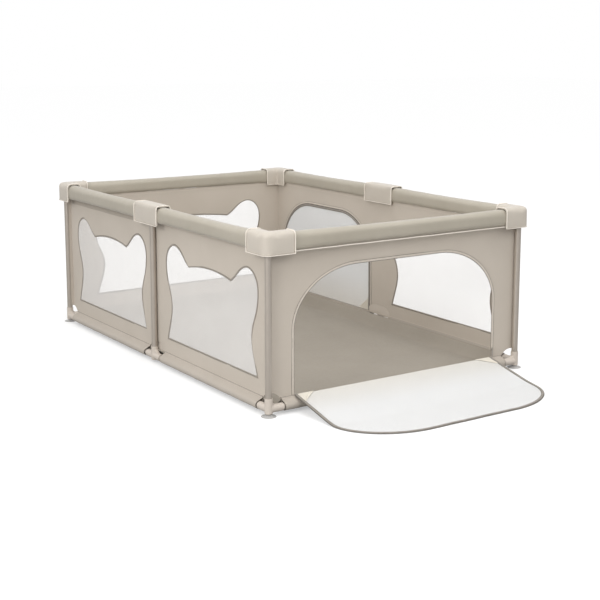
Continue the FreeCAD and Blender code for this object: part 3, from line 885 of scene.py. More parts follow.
FRONT = Panel("front", 180, (0.0, -HALF_LENGTH), 2 * HALF_WIDTH)
BACK = Panel("back", 0, (0.0, HALF_LENGTH), 2 * HALF_WIDTH)
LEFT_FRONT = Panel("left_front", 90, (-HALF_WIDTH, -HALF_LENGTH / 2), HALF_LENGTH, 1)
LEFT_BACK = Panel("left_back", 90, (-HALF_WIDTH, HALF_LENGTH / 2), HALF_LENGTH, -1)
RIGHT_FRONT = Panel("right_front", -90, (HALF_WIDTH, -HALF_LENGTH / 2), HALF_LENGTH, -1)
RIGHT_BACK = Panel("right_back", -90, (HALF_WIDTH, HALF_LENGTH / 2), HALF_LENGTH, 1)
PANELS = (FRONT, BACK, LEFT_FRONT, LEFT_BACK, RIGHT_FRONT, RIGHT_BACK)
CORNERS = (("front_left", -HALF_WIDTH, -HALF_LENGTH, 0), ("front_right", HALF_WIDTH, -HALF_LENGTH, 90),
           ("back_right", HALF_WIDTH, HALF_LENGTH, 180), ("back_left", -HALF_WIDTH, HALF_LENGTH, 270))
MIDDLES = (("middle_left", -HALF_WIDTH, 0.0, 90), ("middle_right", HALF_WIDTH, 0.0, -90))
FRONT_DOOR = DoorShape(0.487, 0.287)
SIDE_DOOR = DoorShape(0.383, 0.250)
SHORT_WINDOW = WindowShape(HALF_LENGTH / 2 - 0.089)
WIDE_WINDOW = WindowShape(HALF_WIDTH - 0.132)


def at_post(piece: bpy.types.Object, x: float, y: float, turn: float) -> bpy.types.Object:
    """Turns a piece's mesh about +Z and moves it to a post, and returns the piece."""
    piece.data.transform(Matrix.Translation((x, y, 0.0)) @ Matrix.Rotation(math.radians(turn), 4, "Z"))
    return piece


def copy_to_posts(model: bpy.types.Object, name: str, places: Sequence[tuple[str, float, float, float]],
                  finish: Finish, smooth: float, node: str = "") -> None:
    """Sets finished copies of a model at some posts, and removes the model.

    Args:
        model: drawn at the origin.
        name: start of the copies' names.
        places: name, place and turn at each post.
        finish: their surface.
        smooth: the sharpest edge in degrees that is shaded round.
        node: start of the names of the CAD nodes they are shown instead of, if there are any.
    """
    for post, x, y, turn in places:
        piece = at_post(twin(model, name + post), x, y, turn)
        settle(piece, finish, smooth=smooth, stands_for=[node + post] if node else [])
    bpy.data.objects.remove(model)


def settle(piece: bpy.types.Object, finish: Finish, body: str = "frame", smooth: float = 35.0,
           stands_for: Sequence[str] = ()) -> bpy.types.Object:
    """Dresses a finished piece and fixes it to the body it moves with.

    Args:
        piece: the finished mesh.
        finish: its surface.
        body: the CAD body it rides on.
        smooth: the sharpest edge in degrees that is shaded round.
        stands_for: the CAD nodes it is shown instead of.

    Returns:
        The piece.
    """
    DRESSER.dress(piece, finish, smooth)
    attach(piece, body)
    if stands_for:
        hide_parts(*stands_for)
    return piece


# ---------------------------------------------------------------- hard parts
@dataclass
class SteelFrame:
    """The posts and the tubes of the frame, which are the CAD's own, and what stays hidden under the padding."""

    posts: tuple[str, ...] = tuple("post_" + row[0] for row in CORNERS + MIDDLES)

    def build(self) -> None:
        """Paints the tubes and gives the hidden joints their plastic."""
        for name in self.posts + ("top_tubes", "bottom_tubes"):
            DRESSER.dress(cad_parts[name], PAINT, None)
        for name in ("top_corner_connectors", "top_tee_connectors"):
            DRESSER.dress(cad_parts[name], PLASTIC, None)
        log.info("steel frame: %d posts painted", len(self.posts))


@dataclass
class FootConnectors:
    """The moulded joints at the foot of each post, with soft mould edges."""

    voxel: float = 0.0014
    smoothing: int = 5

    def build(self) -> None:
        """Rounds one corner joint and one tee joint, and copies them to the other posts."""
        self.spread("front_left", CORNERS)
        self.spread("middle_left", MIDDLES)

    def spread(self, first: str, places: Sequence[tuple[str, float, float, float]]) -> None:
        """Makes one kind of joint at each of its posts.

        Args:
            first: the post whose joint is rounded.
            places: every post with that joint.
        """
        model = self.rounded("bottom_connector_" + first)
        _, x0, y0, turn0 = next(row for row in places if row[0] == first)
        home = Matrix.Rotation(math.radians(-turn0), 4, "Z") @ Matrix.Translation((-x0, -y0, 0.0))
        model.data.transform(home)
        copy_to_posts(model, "foot_connector_", places, PLASTIC, 60.0, "bottom_connector_")
        log.info("foot connectors: %d like %s", len(places), first)

    def rounded(self, node: str) -> bpy.types.Object:
        """A copy of a CAD joint whose edges are rounded as a mould rounds them."""
        piece = twin(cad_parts[node], "joint_model")
        outward(piece)
        modify(piece, "REMESH", mode="VOXEL", voxel_size=self.voxel)
        modify(piece, "SMOOTH", factor=0.5, iterations=self.smoothing)
        modify(piece, "DECIMATE", ratio=0.5)
        return piece


@dataclass
class SuctionFeet:
    """Soft clear suction cups pegged up into the corner joints."""

    profile: tuple[tuple[float, float], ...] = (
        (0.0262, 0.0003), (0.0278, 0.0002), (0.0280, 0.0009), (0.0262, 0.0017), (0.0225, 0.0026), (0.0185, 0.0038),
        (0.0150, 0.0052), (0.0110, 0.0063), (0.0082, 0.0070), (0.0071, 0.0080), (0.0070, 0.0098), (0.0042, 0.0099),
        (0.0040, 0.0110), (0.0040, 0.0180), (0.0034, 0.0189))
    hollow: tuple[tuple[float, float], ...] = ((0.0180, 0.0018), (0.0100, 0.0030), (0.0030, 0.0032))

    def build(self) -> None:
        """Turns one cup ring by ring, and copies it to the four corners."""
        pick()
        start, height = self.hollow[-1]
        bpy.ops.mesh.primitive_circle_add(vertices=56, radius=start, location=(0, 0, height), fill_type="NGON")
        cup = named("cup_model")
        rings = list(self.hollow[-2::-1]) + list(self.profile)

        def raise_rings() -> None:
            """Draws each ring out of the one before it."""
            for (wide, low), (radius, level) in zip([(start, height)] + rings, rings):
                bpy.ops.mesh.extrude_region_move(TRANSFORM_OT_translate={"value": (0, 0, level - low)})
                bpy.ops.transform.resize(value=(radius / wide, radius / wide, 1.0), center_override=(0, 0, level))

        in_edit(cup, raise_rings)
        outward(cup)
        unturned = [(name, x, y, 0) for name, x, y, _ in CORNERS]
        copy_to_posts(cup, "suction_cup_", unturned, SOFT_RUBBER, 50.0, "suction_foot_")
        log.info("suction cups: %d rings each", len(rings))


# ---------------------------------------------------------------- padded rails and caps
@dataclass
class PaddedRails:
    """Foam-filled covers along the top of every side."""

    half_width: float = 0.028
    end_gap: float = 0.062
    shrink: float = 0.0022
    top_round: float = 0.015
    bottom_round: float = 0.008
    voxel: float = 0.006
    pressure: float = 4.0
    reach: float = 0.0034
    piping_radius: float = 0.0021

    def build(self) -> None:
        """Pads one long and one short rail, and copies them round the pen."""
        models = {span: self.padded_bar(span / 2 - self.end_gap) for span in (2 * HALF_WIDTH, HALF_LENGTH)}
        for number, panel in enumerate(PANELS):
            piece = panel.put(twin(models[panel.span], "rail_pad_" + panel.name))
            nodes = ["rail_cover_" + panel.name] + (["rail_foam"] if number == 0 else [])
            settle(piece, RAIL_CLOTH, smooth=80.0, stands_for=nodes)
        for model in models.values():
            bpy.data.objects.remove(model)
        self.pipe(FRONT)
        log.info("padded rails: %d", len(PANELS))

    def padded_bar(self, end: float) -> bpy.types.Object:
        """A stuffed bar along X.

        Args:
            end: half its length.

        Returns:
            The piece.
        """
        slim = self.half_width - self.shrink
        low, high = RAIL_BOTTOM + self.shrink, RAIL_TOP - self.shrink
        bar = block("rail_model", (-end, -slim, low), (end, slim, high))
        for level, radius in ((high, self.top_round), (low, self.bottom_round)):
            round_edges(bar, radius, lambda first, second: abs(first.y - second.y) < NEAR
                        and max(abs(first.z - level), abs(second.z - level)) < NEAR)
        modify(bar, "REMESH", mode="VOXEL", voxel_size=self.voxel)
        before = points_of(bar)
        swell(bar, self.pressure, self.reach, np.abs(before[:, 0]) > end - 0.008)
        modify(bar, "SUBSURF", levels=1, render_levels=1)
        found = points_of(bar)
        slack = Slack(11, 0.00035, 0.16, 0.03, 9)
        lift = slack.at(found[:, 0], found[:, 1] + found[:, 2])
        middle = np.full(len(found), (RAIL_BOTTOM + RAIL_TOP) / 2)
        away = found - np.column_stack([found[:, 0], np.zeros(len(found)), middle])
        away /= np.maximum(np.linalg.norm(away, axis=1, keepdims=True), 1e-6)
        put_points(bar, found + away * lift[:, None])
        return bar

    def pipe(self, panel: Panel) -> None:
        """Sews a cord under the outer edge of one rail."""
        end = panel.span / 2 - self.end_gap - 0.030
        steps = np.linspace(-end, end, 60)
        path = np.column_stack([steps, np.full(60, self.half_width - 0.0035), np.full(60, RAIL_BOTTOM - 0.0005)])
        path[:, 2] += Slack(5, 0.0003, 0.3, 0.08).at(steps, steps)
        cord = panel.put(cord_along("rail_piping_" + panel.name, path, self.piping_radius))
        settle(cord, PIPING, smooth=60.0)


def round_edges(piece: bpy.types.Object, radius: float, chosen: Callable[[Vector, Vector], bool]) -> None:
    """Rounds some edges of a block.

    Args:
        piece: the block.
        radius: of the rounding.
        chosen: True for the two ends of an edge that is rounded.
    """
    pick(piece)
    bpy.ops.object.mode_set(mode="EDIT")
    bpy.ops.mesh.select_all(action="DESELECT")
    bpy.ops.object.mode_set(mode="OBJECT")
    mesh = piece.data
    for edge in mesh.edges:
        edge.select = chosen(*(mesh.vertices[index].co for index in edge.vertices))
    bpy.ops.object.mode_set(mode="EDIT")
    bpy.ops.mesh.select_mode(type="EDGE")
    bpy.ops.mesh.bevel(offset=radius, segments=6, affect="EDGES")
    bpy.ops.object.mode_set(mode="OBJECT")


@dataclass
class PaddedCaps:
    """Padded covers over the rail joints: L-shaped at the corners, straight at the middle posts."""

    outer: float = 0.033
    inner: float = 0.0284
    arm: float = 0.095
    middle_arm: float = 0.102
    bottom: float = 0.591
    top: float = 0.673
    roof: float = 0.0047
    cavity_round: float = 0.0135
    past: float = 0.020          # how far the cavity's block runs on beyond the arms
    plan_round: float = 0.030
    edge_round: float = 0.017
    shrink: float = 0.0006
    voxel: float = 0.0042
    pressure: float = 5.0
    reach: float = 0.0036
    piping_radius: float = 0.0020

    def build(self) -> None:
        """Makes one cap of each kind with its piping, and copies them to the posts."""
        for kind, places in (("corner", CORNERS), ("middle", MIDDLES)):
            outline = self.plan(kind, self.outer - self.shrink, 0.0)
            cap = self.padded_cap(kind, outline)
            cords = self.piping(kind)
            for name, x, y, turn in places:
                piece = at_post(twin(cap, "cap_pad_" + name), x, y, turn)
                settle(piece, CAP_CLOTH, smooth=45.0, stands_for=["cap_" + name])
                settle(at_post(twin(cords, "cap_piping_" + name), x, y, turn), PIPING, smooth=60.0)
            bpy.data.objects.remove(cap)
            bpy.data.objects.remove(cords)
            log.info("padded caps: %d %s", len(places), kind)

    def plan(self, kind: str, half: float, past: float) -> np.ndarray:
        """A cap's outline seen from above.

        Args:
            kind: corner or middle.
            half: half the width of its arms.
            past: how much longer its arms are.

        Returns:
            Points round it, anticlockwise.
        """
        if kind == "middle":
            end = self.middle_arm + past
            return np.array([(-end, -half), (end, -half), (end, half), (-end, half)])
        end = self.arm + past
        radius = self.plan_round - (self.outer - half)
        turn = np.linspace(math.pi, 1.5 * math.pi, 9)
        bend = np.column_stack([np.cos(turn), np.sin(turn)]) * radius + (radius - half)
        return np.vstack([bend, [(end, -half), (end, half), (half, half), (half, end), (-half, end)]])

    def padded_cap(self, kind: str, outline: np.ndarray) -> bpy.types.Object:
        """A stuffed cap, hollow where the rails go.

        Args:
            kind: corner or middle.
            outline: its outline seen from above.

        Returns:
            The piece at the origin.
        """
        cap = self.prism("cap_model", outline, self.bottom, self.top - self.shrink)
        ends = self.middle_arm if kind == "middle" else self.arm
        self.round_top(cap, self.top - self.shrink, ends, self.edge_round)
        modify(cap, "REMESH", mode="VOXEL", voxel_size=self.voxel)
        found = points_of(cap)
        sewn = (found[:, 2] < self.bottom + 0.006) | (found[:, :2] > ends - 0.006).any(axis=1)
        if kind == "middle":
            sewn |= found[:, 0] < 0.006 - ends
        swell(cap, self.pressure, self.reach, sewn)
        modify(cap, "SUBSURF", levels=1, render_levels=1)
        roof = self.top - self.roof
        cavity = self.prism("cavity", self.plan(kind, self.inner, self.past), self.bottom - self.past, roof)
        self.round_top(cavity, roof, ends + self.past, self.cavity_round)
        cut(cap, cavity)
        outward(cap)
        return cap

    def prism(self, name: str, outline: np.ndarray, low: float, high: float) -> bpy.types.Object:
        """An upright block over a plan outline."""
        pick()
        bpy.ops.mesh.primitive_circle_add(vertices=len(outline), radius=1.0, fill_type="NGON")
        piece = named(name)
        put_points(piece, np.column_stack([outline, np.full(len(outline), low)]))
        in_edit(piece, lambda: bpy.ops.mesh.extrude_region_move(TRANSFORM_OT_translate={"value": (0, 0, high - low)}))
        outward(piece)
        return piece

    def round_top(self, piece: bpy.types.Object, level: float, end: float, radius: float) -> None:
        """Rounds the top edges of a block, apart from those across its open ends.

        Args:
            piece: the block.
            level: of its top.
            end: how far its arms reach.
            radius: of the rounding.
        """
        def chosen(first: Vector, second: Vector) -> bool:
            """True for an edge of the roof that isn't at an open end."""
            across = any(min(abs(first[i]), abs(second[i])) > end - 1e-4 for i in (0, 1))
            return min(first.z, second.z) > level - NEAR and not across

        round_edges(piece, radius, chosen)

    def piping(self, kind: str) -> bpy.types.Object:
        """The cords sewn round a cap's open ends and along its lower edges."""
        half = self.outer + 0.0004
        curve = self.edge_round
        turn = np.linspace(0.0, math.pi / 2, 8)
        rise = [(half, self.bottom)]
        rise += [(half - curve + curve * math.cos(a), self.top - curve + curve * math.sin(a)) for a in turn]
        arch = np.array(rise + [(-across, up) for across, up in reversed(rise)])
        end = self.middle_arm if kind == "middle" else self.arm
        hoop = np.column_stack([np.full(len(arch), end - 0.001), arch])
        cords = [cord_along("end_cord", hoop, self.piping_radius)]
        if kind == "middle":
            cords.append(cord_along("end_cord", hoop * np.array([-1.0, 1.0, 1.0]), self.piping_radius))
            for side in (-1.0, 1.0):
                steps = np.linspace(-end, end, 12)
                edge = np.column_stack([steps, np.full(12, side * half), np.full(12, self.bottom)])
                cords.append(cord_along("foot_cord", edge, self.piping_radius * 0.8))
        else:
            cords.append(cord_along("end_cord", hoop[:, [1, 0, 2]], self.piping_radius))
            plan = self.plan(kind, half, 0.0)
            for edge in (np.vstack([plan[-1:], plan[:10]]), plan[10:13]):
                path = np.column_stack([edge, np.full(len(edge), self.bottom)])
                cords.append(cord_along("foot_cord", path, self.piping_radius * 0.8))
        return joined("piping_model", cords)


# ---------------------------------------------------------------- walls
@dataclass
class Wall:
    """One stretched panel of cloth with its window or doorway and the sleeve round the bottom tube."""

    panel: Panel
    opening: WindowShape | DoorShape
    seed: int
    thickness: float = 0.0015
    cell: float = 0.022
    tuck: float = 0.004          # of the cloth up into the rail
    corner_seam: float = 0.012
    notch_radius: float = 0.0497
    notch_height: float = 0.030
    mid_notch_extra: float = 0.008
    sleeve_radius: float = 0.0152
    tube_height: float = 0.028
    sleeve_gap: float = 0.062
    sleeve_girth: float = 0.123  # the way round the tube and back to the hem
    net_overlap: float = 0.0045  # of the window's net inside its edge
    top_hem: float = 0.0         # height of the band under the rail, if it has one

    def build(self) -> None:
        """Makes the panel, its sleeve and what fills or binds its opening."""
        name = self.panel.name
        cloth = self.panel.put(self.cloth())
        settle(cloth, WALL_CLOTH, smooth=30.0, stands_for=["wall_" + name])
        sleeve = self.panel.put(self.sleeve())
        settle(sleeve, SLEEVE_CLOTH, smooth=50.0)
        if isinstance(self.opening, WindowShape):
            self.fill_window()
        if self.top_hem > 0.0:
            self.hem()
        self.hem_line()
        log.info("wall %s: cloth and sleeve", name)

    def hem(self) -> None:
        """A turned-down band of cloth just under the rail, coloured darker as painted shade under the rail."""
        half = self.panel.span / 2
        line = np.linspace(-half + self.inset(-1) + 0.02, half - self.inset(1) - 0.02, 60)
        upper = np.column_stack([line, np.full(60, RAIL_BOTTOM + 0.002)])
        lower = np.column_stack([line, np.full(60, RAIL_BOTTOM - self.top_hem)])
        lower[:, 1] += Slack(self.seed + 60, 0.0007, 0.4, 0.1).at(line, line)
        band = ribbon("hem_band_" + self.panel.name, lower, upper, -WALL_LINE + 0.0013, 0.0012, False)
        settle(self.panel.put(band), HEM_SHADE_CLOTH, smooth=50.0)

    def hem_line(self) -> None:
        """Painted shadow: a thin dark cord along the seam between the panel and its sleeve stands for the shadow in
        the sunken seam.
        """
        ends = [end * (self.panel.span / 2 - self.cut_back(end, HEM_HEIGHT) - 0.0012) for end in (-1, 1)]
        line = np.linspace(*ends, 90)
        path = np.column_stack([line, np.full(90, -WALL_LINE + 0.0016), np.full(90, HEM_HEIGHT + 0.0016)])
        seam = self.panel.put(cord_along("hem_seam_" + self.panel.name, path, 0.0008))
        settle(seam, SEAM_SHADOW_CORD, smooth=60.0)

    def cut_back(self, end: int, height: float | np.ndarray) -> float | np.ndarray:
        """How far from the post axis the cut-out reaches at a height.

        Args:
            end: which end of the panel, -1 or 1.
            height: above the floor; the cut-out is as wide below its middle as there.

        Returns:
            The distance.
        """
        lift = np.clip(height - self.notch_height, 0.0, None)
        return WALL_LINE + np.sqrt(np.clip(self.reach_of_notch(end) ** 2 - lift ** 2, 0.0, None))

    def area(self, cloth: bpy.types.Object) -> float:
        """The flat area of the cloth that is left round the opening."""
        return sum(face.area for face in cloth.data.polygons) / 2

    def inset(self, end: int) -> float:
        """How far the cloth stops short of the post axis at one end."""
        if end == self.panel.mid_end:
            return 0.0
        return WALL_LINE - 0.001 - self.corner_seam if self.panel.mid_end == 0 else WALL_LINE + 0.001

    def cloth(self) -> bpy.types.Object:
        """The panel itself, cut and slightly slack."""
        half = self.panel.span / 2
        low, high = -half + self.inset(-1), half - self.inset(1)
        piece = cloth_grid("wall_cloth_" + self.panel.name, (low, HEM_HEIGHT), (high, RAIL_BOTTOM + self.tuck),
                           self.cell, self.thickness)
        if isinstance(self.opening, WindowShape):
            hole = moved_in(self.opening.outline(), 0.0022)
        else:
            hole = self.opening.arch(0.0, HEM_HEIGHT - CUTTER_REACH)
        cut(piece, plate("hole", hole, -WALL_LINE - CUTTER_REACH, -WALL_LINE + CUTTER_REACH))
        for end in (-1, 1):
            cut(piece, self.notch(end))
        found = points_of(piece)
        near_post = ease((half - np.abs(found[:, 0])) / 0.09)
        near_hem = ease((found[:, 2] - HEM_HEIGHT) / 0.05) * ease((RAIL_BOTTOM - found[:, 2]) / 0.05)
        found[:, 1] += Slack(self.seed, 0.0011, 0.65, 0.16).at(found[:, 0], found[:, 2]) * near_post * near_hem
        put_points(piece, found)
        return piece

    def notch(self, end: int) -> bpy.types.Object:
        """The rounded cut-out round the joint at one end."""
        radius = self.reach_of_notch(end)
        middle = end * (self.panel.span / 2 - WALL_LINE)
        pick()
        bpy.ops.mesh.primitive_cylinder_add(vertices=96, radius=radius, depth=0.08, rotation=(math.pi / 2, 0, 0),
                                            location=(middle, -WALL_LINE, self.notch_height))
        return named("notch")

    def reach_of_notch(self, end: int) -> float:
        """The radius of the cut-out at one end."""
        return self.notch_radius + (self.mid_notch_extra if end == self.panel.mid_end else 0.0)

    def sleeve(self) -> bpy.types.Object:
        """Cloth drawn round the bottom tube and up to the seam on both faces of the wall."""
        face = WALL_LINE - self.thickness / 2
        away = Vector((-face, HEM_HEIGHT - self.tube_height))
        lean = math.atan2(away.y, away.x)
        touch = lean - math.acos(self.sleeve_radius / away.length)
        turn = np.linspace(touch, -math.pi, 26)
        loop = np.column_stack([np.cos(turn), np.sin(turn)]) * self.sleeve_radius + (0.0, self.tube_height)
        drop = np.array([(-face + 0.0006, HEM_HEIGHT + 0.0012), (-face + 0.0012, HEM_HEIGHT - 0.0004),
                         (-face + 0.0018, HEM_HEIGHT - 0.004)])
        rise = np.array([(-WALL_LINE - 0.0012, 0.040), (-WALL_LINE - 0.0010, HEM_HEIGHT - 0.003),
                         (-WALL_LINE - 0.0008, HEM_HEIGHT + 0.001)])
        profile = np.vstack([drop, loop, rise])
        half = self.panel.span / 2
        ends = [end * (half - np.maximum(self.cut_back(end, profile[:, 1]), self.sleeve_gap)) for end in (-1, 1)]
        steps = np.linspace(0.0, 1.0, round(self.panel.span / 0.014))
        x = ends[0][None] + (ends[1] - ends[0])[None] * steps[:, None]
        places = np.stack([x, np.broadcast_to(profile[:, 0], x.shape), np.broadcast_to(profile[:, 1], x.shape)], -1)
        centre = np.array([0.0, 0.0, self.tube_height])
        radial = (places - centre) * np.array([0.0, 1.0, 1.0])
        radial /= np.linalg.norm(radial, axis=-1, keepdims=True)
        below = ease((HEM_HEIGHT - places[..., 2]) / 0.012)
        pucker = Slack(self.seed + 40, 0.00042, 0.09, 0.022, 9).at(x, places[..., 2] * 0.5)
        piece = sheet_of("hem_sleeve_" + self.panel.name, places + radial * (pucker * below)[..., None])
        modify(piece, "SOLIDIFY", thickness=0.0011, offset=-1.0)
        in_edit(piece, lambda: bpy.ops.mesh.normals_make_consistent(inside=False))
        return piece

    def fill_window(self) -> None:
        """Netting in the window and the tape that binds its edge."""
        name = self.panel.name
        outline = self.opening.outline()
        net_edge = moved_in(outline, self.net_overlap)
        net = self.panel.put(plate("window_net_" + name, net_edge, -WALL_LINE - 0.0003, -WALL_LINE + 0.0003))
        settle(net, NETTING, smooth=30.0, stands_for=["window_mesh_" + name])
        tape = ribbon("window_tape_" + name, moved_in(outline, -0.0008), moved_in(outline, 0.0068), -WALL_LINE, 0.0030,
                      True)
        nodes = ["window_bindings"] if self.panel is BACK else []
        settle(self.panel.put(tape), BINDING, smooth=50.0, stands_for=nodes)


@dataclass
class CutOutCovers:
    """A rounded piece of cloth sewn inside the walls over the cut-outs at each middle post."""

    half_width: float = 0.086
    top: float = 0.100
    foot: float = 0.052

    def build(self) -> None:
        """Makes one cover, and copies it to the middle posts."""
        turn = np.linspace(0.0, math.pi, 60)
        height = self.top - self.foot
        arch = np.column_stack([self.half_width * np.cos(turn), self.foot + height * np.sin(turn) ** 0.7])
        model = plate("cover_model", arch, -WALL_LINE - 0.0031, -WALL_LINE - 0.0019)
        modify(model, "BEVEL", width=0.0004, segments=2, limit_method="ANGLE", angle_limit=math.radians(50))
        copy_to_posts(model, "cut_out_cover_", MIDDLES, WALL_CLOTH, 50.0)
        log.info("covers over the cut-outs: %d", len(MIDDLES))


@dataclass
class FloorMat:
    """The fabric floor: flat on the ground, and drawn up to the walls' hems at its margin."""

    thickness: float = 0.0022
    margin: float = 0.050
    edge_height: float = 0.0465
    corner_cut: float = 0.070
    rim: float = 0.0165

    def build(self) -> None:
        """Makes the mat."""
        half_x, half_y = HALF_WIDTH - self.rim, HALF_LENGTH - self.rim
        across, up = np.meshgrid(self.lines(half_x, 46), self.lines(half_y, 66))
        piece = sheet_of("floor_mat_cloth", np.stack([across, up, np.zeros(across.shape)], -1))
        modify(piece, "SOLIDIFY", thickness=self.thickness, offset=0.0)
        outward(piece)
        for _, x, y, _ in CORNERS:
            pick()
            bpy.ops.mesh.primitive_cylinder_add(vertices=96, radius=self.corner_cut, depth=0.1, location=(x, y, 0.0))
            cut(piece, named("corner"))
        found = points_of(piece)
        inside = np.minimum(half_x - np.abs(found[:, 0]), half_y - np.abs(found[:, 1]))
        rise = 1.0 - ease(inside / self.margin * 0.8 + 0.1) / 0.972
        flat = ease((inside - self.margin) / 0.10)
        wrinkle = Slack(71, 0.0009, 0.75, 0.20).at(found[:, 0], found[:, 1])
        pull = Slack(72, 0.0006, 0.11, 0.04).at(found[:, 0], found[:, 1])
        found[:, 2] += 0.0014 + self.edge_height * np.clip(rise, 0.0, 1.0)
        found[:, 2] += np.abs(wrinkle) * flat + np.abs(pull) * ease(inside / 0.02) * (1.0 - flat)
        put_points(piece, found)
        settle(piece, FLOOR_CLOTH, smooth=60.0, stands_for=["floor_mat"])
        log.info("floor mat: %d points", len(found))

    def lines(self, half: float, count: int) -> np.ndarray:
        """Grid lines across the mat, close together in its margin.

        Args:
            half: half its width.
            count: how many lines the flat part has.

        Returns:
            Their places.
        """
        near = half - np.linspace(0.0, self.margin * 1.2, 9)
        middle = np.linspace(-near[-1], near[-1], count)[1:-1]
        return np.concatenate([-near, middle, near[::-1]])


# ---------------------------------------------------------------- doors and zips
@dataclass
class Door:
    """A netted door that hangs from its foot, unzips round its arch and folds down outwards."""

    name: str
    panel: Panel
    shape: DoorShape
    is_down: bool
    binding_width: float = 0.010
    cell: float = 0.016
    net_thickness: float = 0.0006
    foot_gap: float = 0.0012     # from the hinge line up to the net and its binding
    teeth_gap: float = 0.004     # from the hinge line up to the first tooth
    slope: float = math.radians(13.147)
    fold_height: float = 0.002
    soft_fold: float = 0.055     # half the length over which the fold turns
    gather: float = 0.0010
    roll: float = 0.0056         # thickness of the rolled binding
    roll_lift: float = 0.0012    # of its middle off the net's

    def build(self) -> None:
        """Makes the net, its binding, its half of the zip and the patches at its hinge."""
        edge = ZIP_WIDTH + DOOR_GAP
        outer, rim, inner = (self.shape.arch(edge + self.binding_width * share, DOOR_FOOT + self.foot_gap)
                             for share in (0.0, 0.6, 1.0))
        net = self.net(rim)
        store(net, "reach", points_of(net)[:, 2] - DOOR_FOOT)
        self.hang(net, SHADED_DOOR_NETTING, ["%s_door_lower_mesh", "%s_door_upper_mesh"], 30.0)
        reach = self.shape.half_width - edge
        tape = ribbon(self.name + "_door_tape", outer, inner, -WALL_LINE - self.roll_lift, self.roll, False)
        self.hang(tape, DOOR_BINDING, ["%s_door_lower_binding", "%s_door_upper_binding"], 50.0)
        teeth = Teeth(self.shape.arch(edge - 0.0012, DOOR_FOOT + self.teeth_gap)).row(self.name + "_door_teeth")
        self.hang(teeth, TEETH, [], 40.0)
        for side in (-1.0, 1.0):
            self.patch(side, reach)
        log.info("%s door: net, tape, teeth and patches", self.name)

    def net(self, arch: np.ndarray) -> bpy.types.Object:
        """The netting, cut to the arch from a fine grid."""
        low, high = arch.min(axis=0) - 0.01, arch.max(axis=0) + 0.01
        piece = cloth_grid(self.name + "_door_net", low, high, self.cell, self.net_thickness)
        cut(piece, plate("arch", arch, -WALL_LINE - CUTTER_REACH, -WALL_LINE + CUTTER_REACH), "INTERSECT")
        return piece

    def hang(self, piece: bpy.types.Object, finish: Finish, nodes: Sequence[str], smooth: float) -> None:
        """Folds a flat piece as the door is folded and dresses it.

        Args:
            piece: drawn in the closed door's plane.
            finish: its surface.
            nodes: the CAD nodes it is shown instead of, with a place for the door's name.
            smooth: the sharpest edge in degrees that is shaded round.
        """
        self.fold(piece)
        self.panel.put(piece)
        DRESSER.dress(piece, finish, smooth)
        start, end = (self.point(DOOR_CREASE + offset) for offset in (-self.soft_fold, self.soft_fold))
        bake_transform(piece)
        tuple(start)
        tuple(end)
        if nodes:
            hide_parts(*(node % self.name for node in nodes))

    def fold(self, piece: bpy.types.Object) -> None:
        """Bends a flat piece along the door's line, if the door is down."""
        found = points_of(piece)
        along, out = found[:, 2] - DOOR_FOOT, found[:, 1] + WALL_LINE
        ripple = Slack(90, self.gather, 0.42, 0.14).at(found[:, 0], along)
        edge = ease(along / 0.05)
        if not self.is_down:
            found[:, 1] += ripple * 0.6 * edge
            put_points(piece, found)
            return
        away, height, lean = self.line(along)
        rest = ease((along - DOOR_CREASE) / 0.03)
        out = out - np.where(rest > 0.5, np.abs(ripple) * 0.8, ripple) * edge
        found[:, 1] = away - out * np.sin(lean)
        found[:, 2] = height - out * np.cos(lean)
        put_points(piece, found)

    def line(self, along: np.ndarray) -> tuple[np.ndarray, np.ndarray, np.ndarray]:
        """The folded door's line.

        Args:
            along: distances from the hinge.

        Returns:
            How far out, how high and how steep it is at each.
        """
        steps = np.linspace(0.0, 0.6, 1201)
        turn = ease((steps - DOOR_CREASE + self.soft_fold) / (2 * self.soft_fold))
        lean = self.slope * (1.0 - turn)
        gap = steps[1] - steps[0]
        out = -WALL_LINE + np.concatenate([[0.0], np.cumsum(np.cos((lean[1:] + lean[:-1]) / 2)) * gap])
        height = DOOR_FOOT - np.concatenate([[0.0], np.cumsum(np.sin((lean[1:] + lean[:-1]) / 2)) * gap])
        height += self.fold_height - height[-1]
        return np.interp(along, steps, out), np.interp(along, steps, height), np.interp(along, steps, lean)

    def point(self, along: float) -> tuple[float, float, float]:
        """A point on the door's middle line, in the pen's own place."""
        if self.is_down:
            out, height, _ = (float(value[0]) for value in self.line(np.array([along])))
        else:
            out, height = -WALL_LINE, DOOR_FOOT + along
        turned = Matrix.Rotation(math.radians(self.panel.turn), 4, "Z") @ Vector((0.0, out, height))
        return (turned.x + self.panel.centre[0], turned.y + self.panel.centre[1], turned.z)

    def patch(self, side: float, reach: float) -> None:
        """A puckered cloth triangle that strengthens one end of the hinge."""
        count = 15
        down, over = np.meshgrid(np.linspace(0.0, 1.0, count), np.linspace(0.0, 1.0, count), indexing="ij")
        x = side * (reach - 0.008 - 0.075 * over * (1.0 - down))
        z = DOOR_FOOT + 0.002 + 0.060 * down
        fold = 0.0011 * np.sin(over * 17.0 + down * 3.0) * (1.0 - down) * down * 4.0
        y = -WALL_LINE - 0.0022 + fold
        piece = sheet_of("%s_door_patch_%s" % (self.name, "right" if side > 0 else "left"), np.stack([x, y, z], -1))
        in_edit(piece, lambda: bpy.ops.mesh.remove_doubles(threshold=SAME))
        modify(piece, "SOLIDIFY", thickness=0.0008, offset=0.0)
        outward(piece)
        self.fold(piece)
        settle(self.panel.put(piece), DOOR_CLOTH, self.name + "_door_lower", 60.0)


